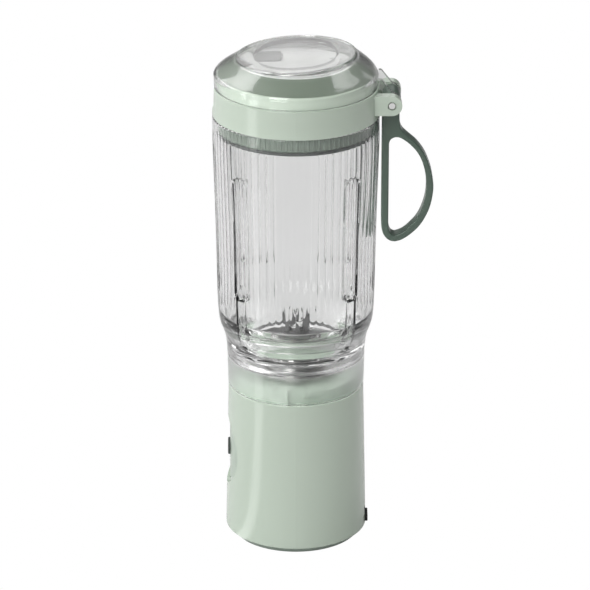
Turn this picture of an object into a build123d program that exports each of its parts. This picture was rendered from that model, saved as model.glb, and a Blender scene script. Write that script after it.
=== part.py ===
from build123d import *
import math
import os

os.makedirs("parts", exist_ok=True)

# Cordless personal blender with a flip-cap lid and a carry loop. All sizes in millimetres.
# The origin is on the body axis at the standing face, and +Z is up. The control panel faces -Y,
# and the lid hinge, the carry loop and the charging port are at +Y.

# ---------------------------------------------------------------- driving dimensions
# power base
SHELL_Z = (3.9, 86.2)        # lower and upper edge of the housing
SHELL_R = (37.7, 36.0)       # its outer radius at those edges
SHELL_WALL = 2.2
PAD_R = 32.4                 # rubber foot pad
PAD_T = 1.8
PANEL_Z = 47.5               # centre of the round control panel
RECESS_R = 19.6
RECESS_DEPTH = 1.4
PANEL_R = 17.2
BUTTON_R = 4.6
LIGHT_Z = 40.2               # indicator light under the button
LIGHT_R = 1.2
BOARD_X = 32.0               # main circuit board, width and height range
BOARD_Z = (24.0, 72.0)
CELL_R = 9.1                 # two 18650 cells
CELL_H = 65.0
CELL_AT = (23.6, 4.0)
CELL_Z = 12.0
MOTOR_R = 13.8
MOTOR_Z = (43.0, 79.0)
SHAFT_R = 1.6
MOUNT_Z = (79.0, 82.0)       # motor mounting plate
DECK_R = 33.7
DECK_Z = (82.0, 86.0)
BOSS_R = 31.0                # raised boss that the vessel's collar drops over
BOSS_TOP_Z = 93.5
WELL_R = 12.0                # coupling well in the boss
COUPLING_R = 9.5
DOGS = 4                     # dogs on each half of the coupling
LUGS = 4                     # bayonet lugs inside the vessel's collar
LUG_W = 7.0
LUG_Z = (87.4, 89.6)
LUG_AT = 32.2                # middle of each lug, from the axis
LUG_DEPTH = 4.4
SCREW_RING = 27.0            # radius of the housing screws
MOTOR_SCREW_RING = 8.5
DECK_SCREW_RING = 30.0
SCREW_BORE_R = 1.3           # clearance bore of the motor and deck screws
SCREW_R = 1.25
SCREW_SEAT_Z = 80.4          # where the heads of the motor screws sit

# vessel and blade unit
COLLAR_Z = (86.3, 106.5)
COLLAR_R = (36.1, 36.5)
COLLAR_WALL = 2.2
FLOOR_TOP_Z = 110.0
RIM_Z = 237.5
RIM_R = 43.5
GROOVES = 4                  # deep grooves down the vessel's wall
GROOVE_W = 8.5
GROOVE_Z = (143.0, 212.0)
HOUSING_R = 19.3
BLADE_SHAFT_R = 2.5
BLADE_SHAFT_Z = (95.6, 117.6)
BLADE_R = 18.5
BLADE_TURN = 80              # where the blades stand at rest, from +X, in degrees

# lid, cap and loop
RING_Z = (237.6, 252.5)
RING_R = (43.5, 42.9)
PLUG_R = 40.4
PLUG_BORE_R = 37.2
PLUG_Z = 229.8               # lower edge of the threaded plug
GASKET_Z = 228.0             # lower edge of its gasket
CONE_R = 39.8
DECK_PLATE_R = 29.0
DECK_PLATE_Z = (262.6, 264.2)
DECK_STEP_R = 24.0           # raised middle of that plate
DECK_STEP_H = 1.8
CONE_TOP_Z = 264.8
RING_STEP_Z = 241.6          # ledge inside the ring that the cone stands on
RING_BORE_R = 36.0
RING_INSIDE_R = 40.4
CAP_RIM_Z = (252.8, 259.6)
CAP_R = 43.3
CAP_WALL = 2.0
DISC_R = 31.4
DISC_Z = 269.5
DISH_R = 24.0                # shallow dish in the top disc
DISH_DEPTH = 0.7
DISC_TILT = 2.8              # the top disc rises towards the hinge, in degrees
PIN_Y = 49.5
PIN_Z = 246.0
PIN_R = 1.9
EAR_R = 5.25
EAR_X = (9.8, 15.1)          # inner and outer face of each hinge ear
CAP_LUG_X = (6.8, 9.5)
KNUCKLE_HALF = 6.5
KNUCKLE_R = 4.9
LOOP_W = 8.3
SPOUT_AT = (-4.0, -14.5)     # centre of the sip spout
SPOUT_SIZE = (14.0, 12.0)
VENT_Y = 19.0                # vent hole, towards the hinge

FIT = 0.3                    # clearance between curved faces that move past each other


def shell_radius(z):
    """Outer radius of the tapered housing at height z."""
    share = (z - SHELL_Z[0]) / (SHELL_Z[1] - SHELL_Z[0])
    return SHELL_R[0] + (SHELL_R[1] - SHELL_R[0]) * share


def outline(points):
    """A closed (radius, height) outline in the XZ plane, ready to revolve about Z."""
    with BuildSketch(Plane.XZ) as profile:
        with BuildLine():
            Polyline(*points, close=True)
        make_face()
    return profile.sketch


def tube(r_in, r_out, z_low, z_high):
    """The outline of a plain ring between two radii and two heights."""
    return outline([(r_in, z_low), (r_out, z_low), (r_out, z_high), (r_in, z_high)])


def side_plane(distance, angle):
    """The upright plane that faces outwards at a distance from the axis, at an angle from +X."""
    turn = math.radians(angle)
    outwards = (math.cos(turn), math.sin(turn), 0)
    along = (-math.sin(turn), math.cos(turn), 0)
    return Plane(tuple(distance * value for value in outwards), x_dir=along, z_dir=outwards)


def front_disc(radius, z):
    """A circle on the XZ plane, facing the front, at height z on the centre line."""
    with BuildSketch(Plane.XZ) as face:
        with Locations((0, z)):
            Circle(radius)
    return face.sketch


# ---------------------------------------------------------------- foot and bottom cover
with BuildPart() as foot_pad:
    revolve(tube(0, PAD_R, 0, PAD_T), axis=Axis.Z)
    fillet(foot_pad.edges().group_by(Axis.Z)[0], 0.6)
    # a shallow ring groove round the underside, for grip
    with BuildSketch(Plane.XY):
        Circle(PAD_R - 4)
        Circle(PAD_R - 6, mode=Mode.SUBTRACT)
    extrude(amount=0.5, mode=Mode.SUBTRACT)
foot_pad.part.label = "foot_pad"
export_step(foot_pad.part, "parts/foot_pad.step")

with BuildPart() as bottom_cover:
    revolve(
        outline([
            (0, PAD_T), (PAD_R + 0.2, PAD_T), (PAD_R + 0.2, 0.5), (33.9, 0.5), (37.3, 3.9), (35.3, 3.9),
            (35.3, 7.5), (33.5, 7.5), (33.5, 4.0), (0, 4.0),
        ]),
        axis=Axis.Z,
    )
    # the collar is notched where the charging port's block comes down
    with BuildSketch(Plane.XY.offset(4.0)):
        with Locations((0, 34)):
            Rectangle(17.4, 8)
    extrude(amount=4.0, mode=Mode.SUBTRACT)
    with BuildSketch(Plane.XY.offset(PAD_T)):
        with PolarLocations(SCREW_RING, 4, start_angle=45):
            Circle(1.5)
    extrude(amount=3.0, mode=Mode.SUBTRACT)
bottom_cover.part.label = "bottom_cover"
export_step(bottom_cover.part, "parts/bottom_cover.step")

# ---------------------------------------------------------------- housing
with BuildPart() as recess_tool:
    extrude(front_disc(RECESS_R, PANEL_Z), amount=50)
    revolve(
        outline([
            (0, SHELL_Z[0]), (SHELL_R[0] - RECESS_DEPTH, SHELL_Z[0]),
            (SHELL_R[1] - RECESS_DEPTH, SHELL_Z[1]), (0, SHELL_Z[1]),
        ]),
        axis=Axis.Z,
        mode=Mode.SUBTRACT,
    )

PORT_Z = 9.3
FLAP_X = 11.6
FLAP_Z = (4.8, 13.8)
FLAP_Y = (35.95, 37.4)

with BuildPart() as base_shell:
    revolve(
        outline([
            (SHELL_R[0], SHELL_Z[0]), (SHELL_R[1], SHELL_Z[1]), (SHELL_R[1] - SHELL_WALL, SHELL_Z[1]),
            (shell_radius(82.0) - SHELL_WALL, 82.0), (32.4, 82.0), (32.4, 80.8),
            (shell_radius(79.5) - SHELL_WALL, 79.5), (SHELL_R[0] - SHELL_WALL, SHELL_Z[0]),
        ]),
        axis=Axis.Z,
    )
    fillet(base_shell.edges().group_by(Axis.Z)[-1].sort_by(SortBy.LENGTH)[-1], 0.5)
    fillet(base_shell.edges().group_by(Axis.Z)[0].sort_by(SortBy.LENGTH)[-1], 0.4)
    # solid block behind the charging port, kept inside the outer wall
    with BuildSketch(Plane.XY.offset(4.2)):
        with Locations((0, 34.4)):
            Rectangle(16.0, 3.2)
    extrude(amount=12.8)
    # pocket for the port cover, and the port's mouth
    with BuildSketch(Plane.XZ.offset(-40)):
        with Locations((0, (FLAP_Z[0] + FLAP_Z[1]) / 2)):
            RectangleRounded(FLAP_X + 2 * FIT, FLAP_Z[1] - FLAP_Z[0] + 2 * FIT, 1.2)
    extrude(amount=40 - (FLAP_Y[0] - FIT), mode=Mode.SUBTRACT)
    with BuildSketch(Plane.XZ.offset(-40)):
        with Locations((0, PORT_Z)):
            SlotOverall(9.4, 3.7)
    extrude(amount=10, mode=Mode.SUBTRACT)
    # round recess for the controls, with a hole that the panel fills
    add(recess_tool.part, mode=Mode.SUBTRACT)
    extrude(front_disc(PANEL_R + 0.1, PANEL_Z), amount=50, mode=Mode.SUBTRACT)
base_shell.part.label = "base_shell"
export_step(base_shell.part, "parts/base_shell.step")

# ---------------------------------------------------------------- controls
PANEL_OUT = shell_radius(PANEL_Z) - RECESS_DEPTH
PANEL_IN = 33.2

with BuildPart() as control_panel:
    revolve(tube(PANEL_IN, PANEL_OUT, PANEL_Z - 20, PANEL_Z + 20), axis=Axis.Z)
    with BuildSketch(Plane.XZ) as panel_edge:
        with Locations((0, PANEL_Z)):
            Circle(PANEL_R)
    extrude(panel_edge.sketch, amount=50, mode=Mode.INTERSECT)
    extrude(front_disc(BUTTON_R + FIT, PANEL_Z), amount=50, mode=Mode.SUBTRACT)
    extrude(front_disc(LIGHT_R + 0.1, LIGHT_Z), amount=50, mode=Mode.SUBTRACT)
control_panel.part.label = "control_panel"
export_step(control_panel.part, "parts/control_panel.step")

BUTTON_FACE_Y = -36.5
BUTTON_BACK_Y = -31.5

with BuildPart() as power_button:
    with BuildSketch(Plane.XZ.offset(-BUTTON_BACK_Y)):
        with Locations((0, PANEL_Z)):
            Circle(BUTTON_R)
    extrude(amount=BUTTON_BACK_Y - BUTTON_FACE_Y)
    fillet(power_button.faces().sort_by(Axis.Y)[0].edges(), 0.5)
    with BuildSketch(Plane.XZ.offset(-BUTTON_BACK_Y)):
        with Locations((0, PANEL_Z)):
            Circle(BUTTON_R + 1.0)
    extrude(amount=1.0)
power_button.part.label = "power_button"
export_step(power_button.part, "parts/power_button.step")

BOARD_Y = (-28.2, -26.6)

with BuildPart() as status_light:
    with BuildSketch(Plane.XZ.offset(-BOARD_Y[0])):
        with Locations((0, LIGHT_Z)):
            Circle(LIGHT_R)
    extrude(amount=PANEL_OUT + BOARD_Y[0] + 0.3)
    fillet(status_light.faces().sort_by(Axis.Y)[0].edges(), 0.4)
status_light.part.label = "status_light"
export_step(status_light.part, "parts/status_light.step")

with BuildPart() as tact_switch:
    with BuildSketch(Plane.XZ.offset(-BOARD_Y[0])):
        with Locations((0, PANEL_Z)):
            Rectangle(6.2, 6.2)
    extrude(amount=1.6)
    with BuildSketch(Plane.XZ.offset(1.6 - BOARD_Y[0])):
        with Locations((0, PANEL_Z)):
            Circle(1.7)
    extrude(amount=0.7)
tact_switch.part.label = "tact_switch"
export_step(tact_switch.part, "parts/tact_switch.step")

with BuildPart() as circuit_board:
    with BuildSketch(Plane.XZ.offset(-BOARD_Y[1])):
        with Locations((0, (BOARD_Z[0] + BOARD_Z[1]) / 2)):
            RectangleRounded(BOARD_X, BOARD_Z[1] - BOARD_Z[0], 2.0)
            with GridLocations(BOARD_X - 6, BOARD_Z[1] - BOARD_Z[0] - 6, 2, 2):
                Circle(1.4, mode=Mode.SUBTRACT)
    extrude(amount=BOARD_Y[1] - BOARD_Y[0])
    # power transistor, controller and a row of capacitors on the rear face
    with BuildSketch(Plane.XZ.offset(-BOARD_Y[1])):
        with Locations((-7, 60)):
            Rectangle(10, 9)
        with Locations((6, 36)):
            Rectangle(7, 7)
    extrude(amount=-2.2)
    with BuildSketch(Plane.XZ.offset(-BOARD_Y[1])):
        with Locations((10, 62), (10, 55)):
            Circle(2.5)
    extrude(amount=-4.5)
circuit_board.part.label = "circuit_board"
export_step(circuit_board.part, "parts/circuit_board.step")

# ---------------------------------------------------------------- charging port
with BuildPart() as charge_port:
    with BuildSketch(Plane.XZ.offset(-35.4)):
        with Locations((0, PORT_Z)):
            SlotOverall(8.94, 3.2)
    extrude(amount=7.3)
    with BuildSketch(Plane.XZ.offset(-35.4)):
        with Locations((0, PORT_Z)):
            SlotOverall(8.34, 2.6)
            Rectangle(6.6, 0.7, mode=Mode.SUBTRACT)
    extrude(amount=6.3, mode=Mode.SUBTRACT)
charge_port.part.label = "charge_port"
export_step(charge_port.part, "parts/charge_port.step")

with BuildPart() as charge_board:
    with BuildSketch(Plane.XY.offset(PORT_Z - 1.6 - 1.2)):
        with Locations((0, 27.6)):
            RectangleRounded(16.0, 10.4, 1.0)
    extrude(amount=1.2)
charge_board.part.label = "charge_board"
export_step(charge_board.part, "parts/charge_board.step")

with BuildPart() as port_cover:
    with BuildSketch(Plane.XZ.offset(-FLAP_Y[1])):
        with Locations((0, (FLAP_Z[0] + FLAP_Z[1]) / 2)):
            RectangleRounded(FLAP_X, FLAP_Z[1] - FLAP_Z[0], 1.0)
    extrude(amount=FLAP_Y[1] - FLAP_Y[0])
    fillet(port_cover.edges().filter_by(Axis.X).group_by(Axis.Z)[-1], 0.7)
    # pull lip along the lower edge
    with BuildSketch(Plane.XZ.offset(-FLAP_Y[1])):
        with Locations((0, FLAP_Z[0] + 1.7)):
            RectangleRounded(10.6, 3.4, 0.8)
    extrude(amount=-1.4)
    fillet(port_cover.faces().sort_by(Axis.Y)[-1].edges(), 0.4)
port_cover.part.label = "port_cover"
export_step(port_cover.part, "parts/port_cover.step")

# ---------------------------------------------------------------- battery
with BuildPart() as battery_tray:
    with BuildSketch(Plane.XY.offset(9.0)):
        Circle(32.5)
        with Locations((0, 32)):
            Rectangle(20, 22, mode=Mode.SUBTRACT)
    extrude(amount=3.0)
    with BuildSketch(Plane.XY.offset(12.0)):
        with Locations(CELL_AT, (-CELL_AT[0], CELL_AT[1])):
            Circle(CELL_R + 1.4)
        Circle(shell_radius(20) - SHELL_WALL - 0.4, mode=Mode.INTERSECT)
        with Locations(CELL_AT, (-CELL_AT[0], CELL_AT[1])):
            Circle(CELL_R + 0.1, mode=Mode.SUBTRACT)
    extrude(amount=6.0)
    # feet that take the housing screws
    with BuildSketch(Plane.XY.offset(4.0)):
        with PolarLocations(SCREW_RING, 4, start_angle=45):
            Circle(3.4)
    extrude(amount=5.0)
    with BuildSketch(Plane.XY.offset(4.0)):
        with PolarLocations(SCREW_RING, 4, start_angle=45):
            Circle(1.4)
    extrude(amount=6.5, mode=Mode.SUBTRACT)
battery_tray.part.label = "battery_tray"
export_step(battery_tray.part, "parts/battery_tray.step")

with BuildPart() as battery_cells:
    with BuildSketch(Plane.XY.offset(CELL_Z)):
        with Locations(CELL_AT, (-CELL_AT[0], CELL_AT[1])):
            Circle(CELL_R)
    extrude(amount=CELL_H - 1.0)
    fillet(battery_cells.edges().group_by(Axis.Z)[-1], 0.8)
    with BuildSketch(Plane.XY.offset(CELL_Z + CELL_H - 1.0)):
        with Locations(CELL_AT, (-CELL_AT[0], CELL_AT[1])):
            Circle(2.8)
    extrude(amount=1.0)
battery_cells.part.label = "battery_cells"
export_step(battery_cells.part, "parts/battery_cells.step")

with BuildPart() as housing_screws:
    with BuildSketch(Plane.XY.offset(PAD_T)):
        with PolarLocations(SCREW_RING, 4, start_angle=45):
            Circle(1.35)
    extrude(amount=8.0)
housing_screws.part.label = "housing_screws"
export_step(housing_screws.part, "parts/housing_screws.step")

# ---------------------------------------------------------------- motor
CAN_WALL = 1.2
ARMATURE_Z = (50.0, 72.0)
ARMATURE_R = 9.4
COMMUTATOR_R = 3.4
SHAFT_Z = (36.0, 90.5)
BUSH_R = 3.2
BUSH_BORE = SHAFT_R + 0.05
END_CAP_Z = 38.5

with BuildPart() as motor_can:
    revolve(
        outline([
            (MOTOR_R - CAN_WALL, MOTOR_Z[0]), (MOTOR_R, MOTOR_Z[0]), (MOTOR_R, MOTOR_Z[1]),
            (5.0, MOTOR_Z[1]), (5.0, 81.0), (BUSH_R, 81.0), (BUSH_R, MOTOR_Z[1] - CAN_WALL),
            (MOTOR_R - CAN_WALL, MOTOR_Z[1] - CAN_WALL),
        ]),
        axis=Axis.Z,
    )
    with BuildSketch(Plane.XY.offset(MOTOR_Z[1])):
        with PolarLocations(MOTOR_SCREW_RING, 2, start_angle=90):
            Circle(SCREW_BORE_R)
    extrude(amount=-CAN_WALL, mode=Mode.SUBTRACT)
motor_can.part.label = "motor_can"
export_step(motor_can.part, "parts/motor_can.step")

with BuildPart() as motor_magnets:
    with BuildSketch(Plane.XY.offset(48.0)):
        Circle(MOTOR_R - CAN_WALL)
        Circle(10.2, mode=Mode.SUBTRACT)
        Rectangle(60, 7, mode=Mode.SUBTRACT)
    extrude(amount=26.0)
motor_magnets.part.label = "motor_magnets"
export_step(motor_magnets.part, "parts/motor_magnets.step")

with BuildPart() as motor_end_cap:
    revolve(
        outline([
            (BUSH_R, 37.0), (5.0, 37.0), (5.0, END_CAP_Z), (MOTOR_R, END_CAP_Z), (MOTOR_R, MOTOR_Z[0]),
            (MOTOR_R - 3.0, MOTOR_Z[0]), (MOTOR_R - 3.0, 41.0), (BUSH_R, 41.0),
        ]),
        axis=Axis.Z,
    )
    # two brush terminals
    with BuildSketch(Plane.XY.offset(END_CAP_Z)):
        with Locations((0, 8.5), (0, -8.5)):
            Rectangle(2.8, 0.8)
    extrude(amount=-5.0)
motor_end_cap.part.label = "motor_end_cap"
export_step(motor_end_cap.part, "parts/motor_end_cap.step")

with BuildPart() as motor_bushes:
    revolve(tube(BUSH_BORE, BUSH_R, 77.0, 81.0), axis=Axis.Z)
    revolve(tube(BUSH_BORE, BUSH_R, 37.0, 41.0), axis=Axis.Z)
motor_bushes.part.label = "motor_bushes"
export_step(motor_bushes.part, "parts/motor_bushes.step")

with BuildPart() as motor_armature:
    revolve(tube(SHAFT_R, ARMATURE_R, *ARMATURE_Z), axis=Axis.Z)
    # three winding slots
    with BuildSketch(Plane.XY.offset(ARMATURE_Z[0])):
        with PolarLocations(8.0, 3, start_angle=30):
            Rectangle(5.0, 2.0)
    extrude(amount=ARMATURE_Z[1] - ARMATURE_Z[0], mode=Mode.SUBTRACT)
    # commutator
    revolve(tube(SHAFT_R, COMMUTATOR_R, 42.0, ARMATURE_Z[0]), axis=Axis.Z)
motor_armature.part.label = "motor_armature"
export_step(motor_armature.part, "parts/motor_armature.step")

with BuildPart() as motor_shaft:
    revolve(tube(0, SHAFT_R, *SHAFT_Z), axis=Axis.Z)
motor_shaft.part.label = "motor_shaft"
export_step(motor_shaft.part, "parts/motor_shaft.step")

with BuildPart() as motor_mount:
    revolve(tube(5.1, 32.2, MOUNT_Z[0], MOUNT_Z[1]), axis=Axis.Z)
    with BuildSketch(Plane.XY.offset(MOUNT_Z[0])):
        with PolarLocations(MOTOR_SCREW_RING, 2, start_angle=90):
            Circle(SCREW_BORE_R)
        with PolarLocations(DECK_SCREW_RING, 4, start_angle=45):
            Circle(SCREW_BORE_R)
    extrude(amount=3.0, mode=Mode.SUBTRACT)
    with BuildSketch(Plane.XY.offset(SCREW_SEAT_Z)):
        with PolarLocations(MOTOR_SCREW_RING, 2, start_angle=90):
            Circle(2.4)
    extrude(amount=1.6, mode=Mode.SUBTRACT)
motor_mount.part.label = "motor_mount"
export_step(motor_mount.part, "parts/motor_mount.step")

with BuildPart() as motor_screws:
    with BuildSketch(Plane.XY.offset(77.0)):
        with PolarLocations(MOTOR_SCREW_RING, 2, start_angle=90):
            Circle(SCREW_R)
    extrude(amount=3.4)
    with BuildSketch(Plane.XY.offset(SCREW_SEAT_Z)):
        with PolarLocations(MOTOR_SCREW_RING, 2, start_angle=90):
            Circle(2.2)
    extrude(amount=1.5)
motor_screws.part.label = "motor_screws"
export_step(motor_screws.part, "parts/motor_screws.step")

with BuildPart() as deck_screws:
    with BuildSketch(Plane.XY.offset(77.4)):
        with PolarLocations(DECK_SCREW_RING, 4, start_angle=45):
            Circle(2.2)
    extrude(amount=1.6)
    with BuildSketch(Plane.XY.offset(79.0)):
        with PolarLocations(DECK_SCREW_RING, 4, start_angle=45):
            Circle(SCREW_R)
    extrude(amount=5.6)
deck_screws.part.label = "deck_screws"
export_step(deck_screws.part, "parts/deck_screws.step")

# ---------------------------------------------------------------- top deck and drive coupling
SEAL_R = 5.0

with BuildPart() as top_deck:
    revolve(
        outline([
            (2.0, 85.0), (SEAL_R, 85.0), (SEAL_R, DECK_Z[0]), (14.5, DECK_Z[0]), (14.5, 90.5),
            (28.0, 90.5), (28.0, DECK_Z[0]), (DECK_R, DECK_Z[0]), (DECK_R, DECK_Z[1]), (BOSS_R, DECK_Z[1]),
            (BOSS_R, BOSS_TOP_Z - 0.8), (BOSS_R - 0.8, BOSS_TOP_Z), (WELL_R + 0.8, BOSS_TOP_Z),
            (WELL_R, BOSS_TOP_Z - 0.8), (WELL_R, 87.0), (2.0, 87.0),
        ]),
        axis=Axis.Z,
    )
    # bayonet slots: an open entry for each lug of the collar, and a run to turn it into
    with BuildSketch(Plane.XY.offset(DECK_Z[1])):
        with PolarLocations(BOSS_R, LUGS):
            Rectangle(4.0, LUG_W + 1.4)
    extrude(amount=BOSS_TOP_Z - DECK_Z[1], mode=Mode.SUBTRACT)
    with BuildSketch(Plane.XY.offset(DECK_Z[1])):
        with PolarLocations(BOSS_R - 0.3, LUGS, start_angle=14):
            Rectangle(3.4, LUG_W + 3.0)
    extrude(amount=4.0, mode=Mode.SUBTRACT)
    with BuildSketch(Plane.XY.offset(DECK_Z[0])):
        with PolarLocations(DECK_SCREW_RING, 4, start_angle=45):
            Circle(SCREW_BORE_R)
    extrude(amount=3.0, mode=Mode.SUBTRACT)
top_deck.part.label = "top_deck"
export_step(top_deck.part, "parts/top_deck.step")

with BuildPart() as shaft_seal:
    revolve(
        outline([(2.6, 82.2), (SEAL_R, 82.2), (SEAL_R, 85.0), (SHAFT_R + 0.1, 85.0), (SHAFT_R + 0.1, 84.2)]),
        axis=Axis.Z,
    )
shaft_seal.part.label = "shaft_seal"
export_step(shaft_seal.part, "parts/shaft_seal.step")

DOG_H = 3.4
DOG_AT = 7.0
DRIVE_Z = (87.8, 91.0)
DRIVEN_Z = (95.2, 98.4)

with BuildPart() as drive_coupling:
    revolve(tube(0, COUPLING_R, *DRIVE_Z), axis=Axis.Z)
    with BuildSketch(Plane.XY.offset(DRIVE_Z[1])):
        with PolarLocations(DOG_AT, DOGS):
            Rectangle(4.4, 3.4)
    extrude(amount=DOG_H)
    fillet(drive_coupling.faces().sort_by(Axis.Z)[-1:].edges(), 0.4)
    with BuildSketch(Plane.XY.offset(DRIVE_Z[0])):
        Circle(SHAFT_R)
    extrude(amount=SHAFT_Z[1] - DRIVE_Z[0], mode=Mode.SUBTRACT)
drive_coupling.part.label = "drive_coupling"
export_step(drive_coupling.part, "parts/drive_coupling.step")

# ---------------------------------------------------------------- blade unit
with BuildPart() as driven_coupling:
    revolve(tube(BLADE_SHAFT_R, COUPLING_R, *DRIVEN_Z), axis=Axis.Z)
    with BuildSketch(Plane.XY.offset(DRIVEN_Z[0])):
        with PolarLocations(DOG_AT, DOGS, start_angle=45):
            Rectangle(4.4, 3.4)
    extrude(amount=-DOG_H)
driven_coupling.part.label = "driven_coupling"
export_step(driven_coupling.part, "parts/driven_coupling.step")

BEARING_R = 6.0
NECK_R = 8.6

with BuildPart() as blade_housing:
    revolve(
        outline([
            (10.6, 94.4), (HOUSING_R - 0.8, 94.4), (HOUSING_R, 95.2), (HOUSING_R, 97.2),
            (HOUSING_R - 0.8, 98.0), (15.0, 98.0), (14.4, 104.4), (NECK_R, 104.4), (NECK_R, 110.0),
            (BEARING_R, 110.0), (BEARING_R, 106.4), (3.6, 106.4), (3.6, 103.2), (BEARING_R, 103.2),
            (BEARING_R, 99.6), (10.6, 99.6),
        ]),
        axis=Axis.Z,
    )
    # grip lugs round the flange, for unscrewing the unit to clean it
    with BuildSketch(Plane.XY.offset(95.2)):
        with PolarLocations(HOUSING_R + 0.9, 6):
            Rectangle(3.4, 4.6)
    extrude(amount=2.4)
blade_housing.part.label = "blade_housing"
export_step(blade_housing.part, "parts/blade_housing.step")

with BuildPart() as blade_bearings:
    revolve(tube(BLADE_SHAFT_R + 0.05, BEARING_R, 99.6, 103.2), axis=Axis.Z)
    revolve(tube(BLADE_SHAFT_R + 0.05, BEARING_R, 106.4, 110.0), axis=Axis.Z)
blade_bearings.part.label = "blade_bearings"
export_step(blade_bearings.part, "parts/blade_bearings.step")

with BuildPart() as housing_gasket:
    revolve(tube(NECK_R, 13.6, 104.4, COLLAR_Z[1]), axis=Axis.Z)
housing_gasket.part.label = "housing_gasket"
export_step(housing_gasket.part, "parts/housing_gasket.step")

with BuildPart() as clamp_nut:
    revolve(
        outline([
            (5.4, FLOOR_TOP_Z), (12.6, FLOOR_TOP_Z), (12.6, 111.0), (9.5, 112.2), (5.4, 112.2),
        ]),
        axis=Axis.Z,
    )
clamp_nut.part.label = "clamp_nut"
export_step(clamp_nut.part, "parts/clamp_nut.step")

with BuildPart() as blade_seal:
    revolve(
        outline([
            (BLADE_SHAFT_R + 0.1, 111.2), (BLADE_SHAFT_R + 1.0, FLOOR_TOP_Z), (5.4, FLOOR_TOP_Z), (5.4, 111.8),
            (BLADE_SHAFT_R + 0.1, 111.8),
        ]),
        axis=Axis.Z,
    )
blade_seal.part.label = "blade_seal"
export_step(blade_seal.part, "parts/blade_seal.step")

with BuildPart() as blade_shaft:
    revolve(tube(0, BLADE_SHAFT_R, *BLADE_SHAFT_Z), axis=Axis.Z)
blade_shaft.part.label = "blade_shaft"
export_step(blade_shaft.part, "parts/blade_shaft.step")

BLADE_T = 1.2
LOWER_BLADE_Z = 112.8

with BuildPart() as lower_blade:
    with BuildSketch(Plane.XY.offset(LOWER_BLADE_Z)):
        Circle(6.0)
        for turn in (0, 180):
            with BuildLine(Plane.XY.rotated((0, 0, turn + BLADE_TURN))):
                Polyline((2.0, -4.2), (13.0, -3.4), (BLADE_R, 2.4), (13.0, 3.2), (2.0, 4.2), close=True)
            make_face()
        Circle(BLADE_SHAFT_R, mode=Mode.SUBTRACT)
    extrude(amount=BLADE_T)
lower_blade.part.label = "lower_blade"
export_step(lower_blade.part, "parts/lower_blade.step")

UPPER_BLADE_Z = LOWER_BLADE_Z + BLADE_T
HUB_R = 7.3
# pointed fingers that stand up from the hub: x, y, width and tip height of each
FINGERS = [
    (3.4, -4.7, 1.8, 128.3), (-5.0, -2.6, 2.6, 125.9), (5.1, 0.8, 2.4, 124.0), (-4.5, 3.6, 2.6, 126.2),
    (1.9, 5.6, 2.4, 128.0),
]

with BuildPart() as upper_blade:
    with BuildSketch(Plane.XY.offset(UPPER_BLADE_Z)):
        Circle(HUB_R)
        Circle(BLADE_SHAFT_R, mode=Mode.SUBTRACT)
    extrude(amount=BLADE_T)
    for x, y, width, tip_z in FINGERS:
        with BuildSketch(Plane.YZ.offset(x - BLADE_T / 2)):
            with BuildLine():
                Polyline(
                    (y - width / 2, UPPER_BLADE_Z), (y + width / 2, UPPER_BLADE_Z),
                    (y + width / 2, tip_z - 7.0), (y + 0.25, tip_z), (y - 0.25, tip_z),
                    (y - width / 2, tip_z - 5.0), close=True,
                )
            make_face()
        extrude(amount=BLADE_T)
upper_blade.part.label = "upper_blade"
export_step(upper_blade.part, "parts/upper_blade.step")

with BuildPart() as blade_nut:
    with BuildSketch(Plane.XY.offset(UPPER_BLADE_Z + BLADE_T)):
        RegularPolygon(4.3, 6)
    extrude(amount=3.2)
    fillet(blade_nut.faces().sort_by(Axis.Z)[-1].edges(), 0.5)
    with BuildSketch(Plane.XY.offset(UPPER_BLADE_Z + BLADE_T)):
        Circle(BLADE_SHAFT_R)
    extrude(amount=BLADE_SHAFT_Z[1] - UPPER_BLADE_Z - BLADE_T, mode=Mode.SUBTRACT)
blade_nut.part.label = "blade_nut"
export_step(blade_nut.part, "parts/blade_nut.step")

# ---------------------------------------------------------------- vessel
VESSEL_OUTSIDE = [
    (36.6, COLLAR_Z[1]), (37.0, 112.0), (38.5, 118.4), (40.2, 122.5), (41.0, 127.5), (42.3, 180.0),
    (43.1, 207.0), (RIM_R, 222.0), (RIM_R, RIM_Z),
]
VESSEL_INSIDE = [
    (40.8, RIM_Z), (40.8, 222.0), (40.3, 207.0), (39.5, 180.0), (38.3, 130.5), (37.4, 127.0),
    (35.0, 122.6), (30.5, 117.6), (26.0, 113.2), (22.5, FLOOR_TOP_Z),
]

with BuildPart() as vessel:
    revolve(
        outline([(NECK_R + 0.05, COLLAR_Z[1]), *VESSEL_OUTSIDE, *VESSEL_INSIDE, (NECK_R + 0.05, FLOOR_TOP_Z)]),
        axis=Axis.Z,
    )
    # deep vertical grooves with rounded ends, cut from outside
    for index in range(GROOVES):
        with BuildSketch(side_plane(41.0, 45 + 360 / GROOVES * index)):
            with Locations((0, (GROOVE_Z[0] + GROOVE_Z[1]) / 2)):
                SlotOverall(GROOVE_Z[1] - GROOVE_Z[0], GROOVE_W, rotation=90)
        extrude(amount=10, mode=Mode.SUBTRACT)
vessel.part.label = "vessel"
export_step(vessel.part, "parts/vessel.step")

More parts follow.
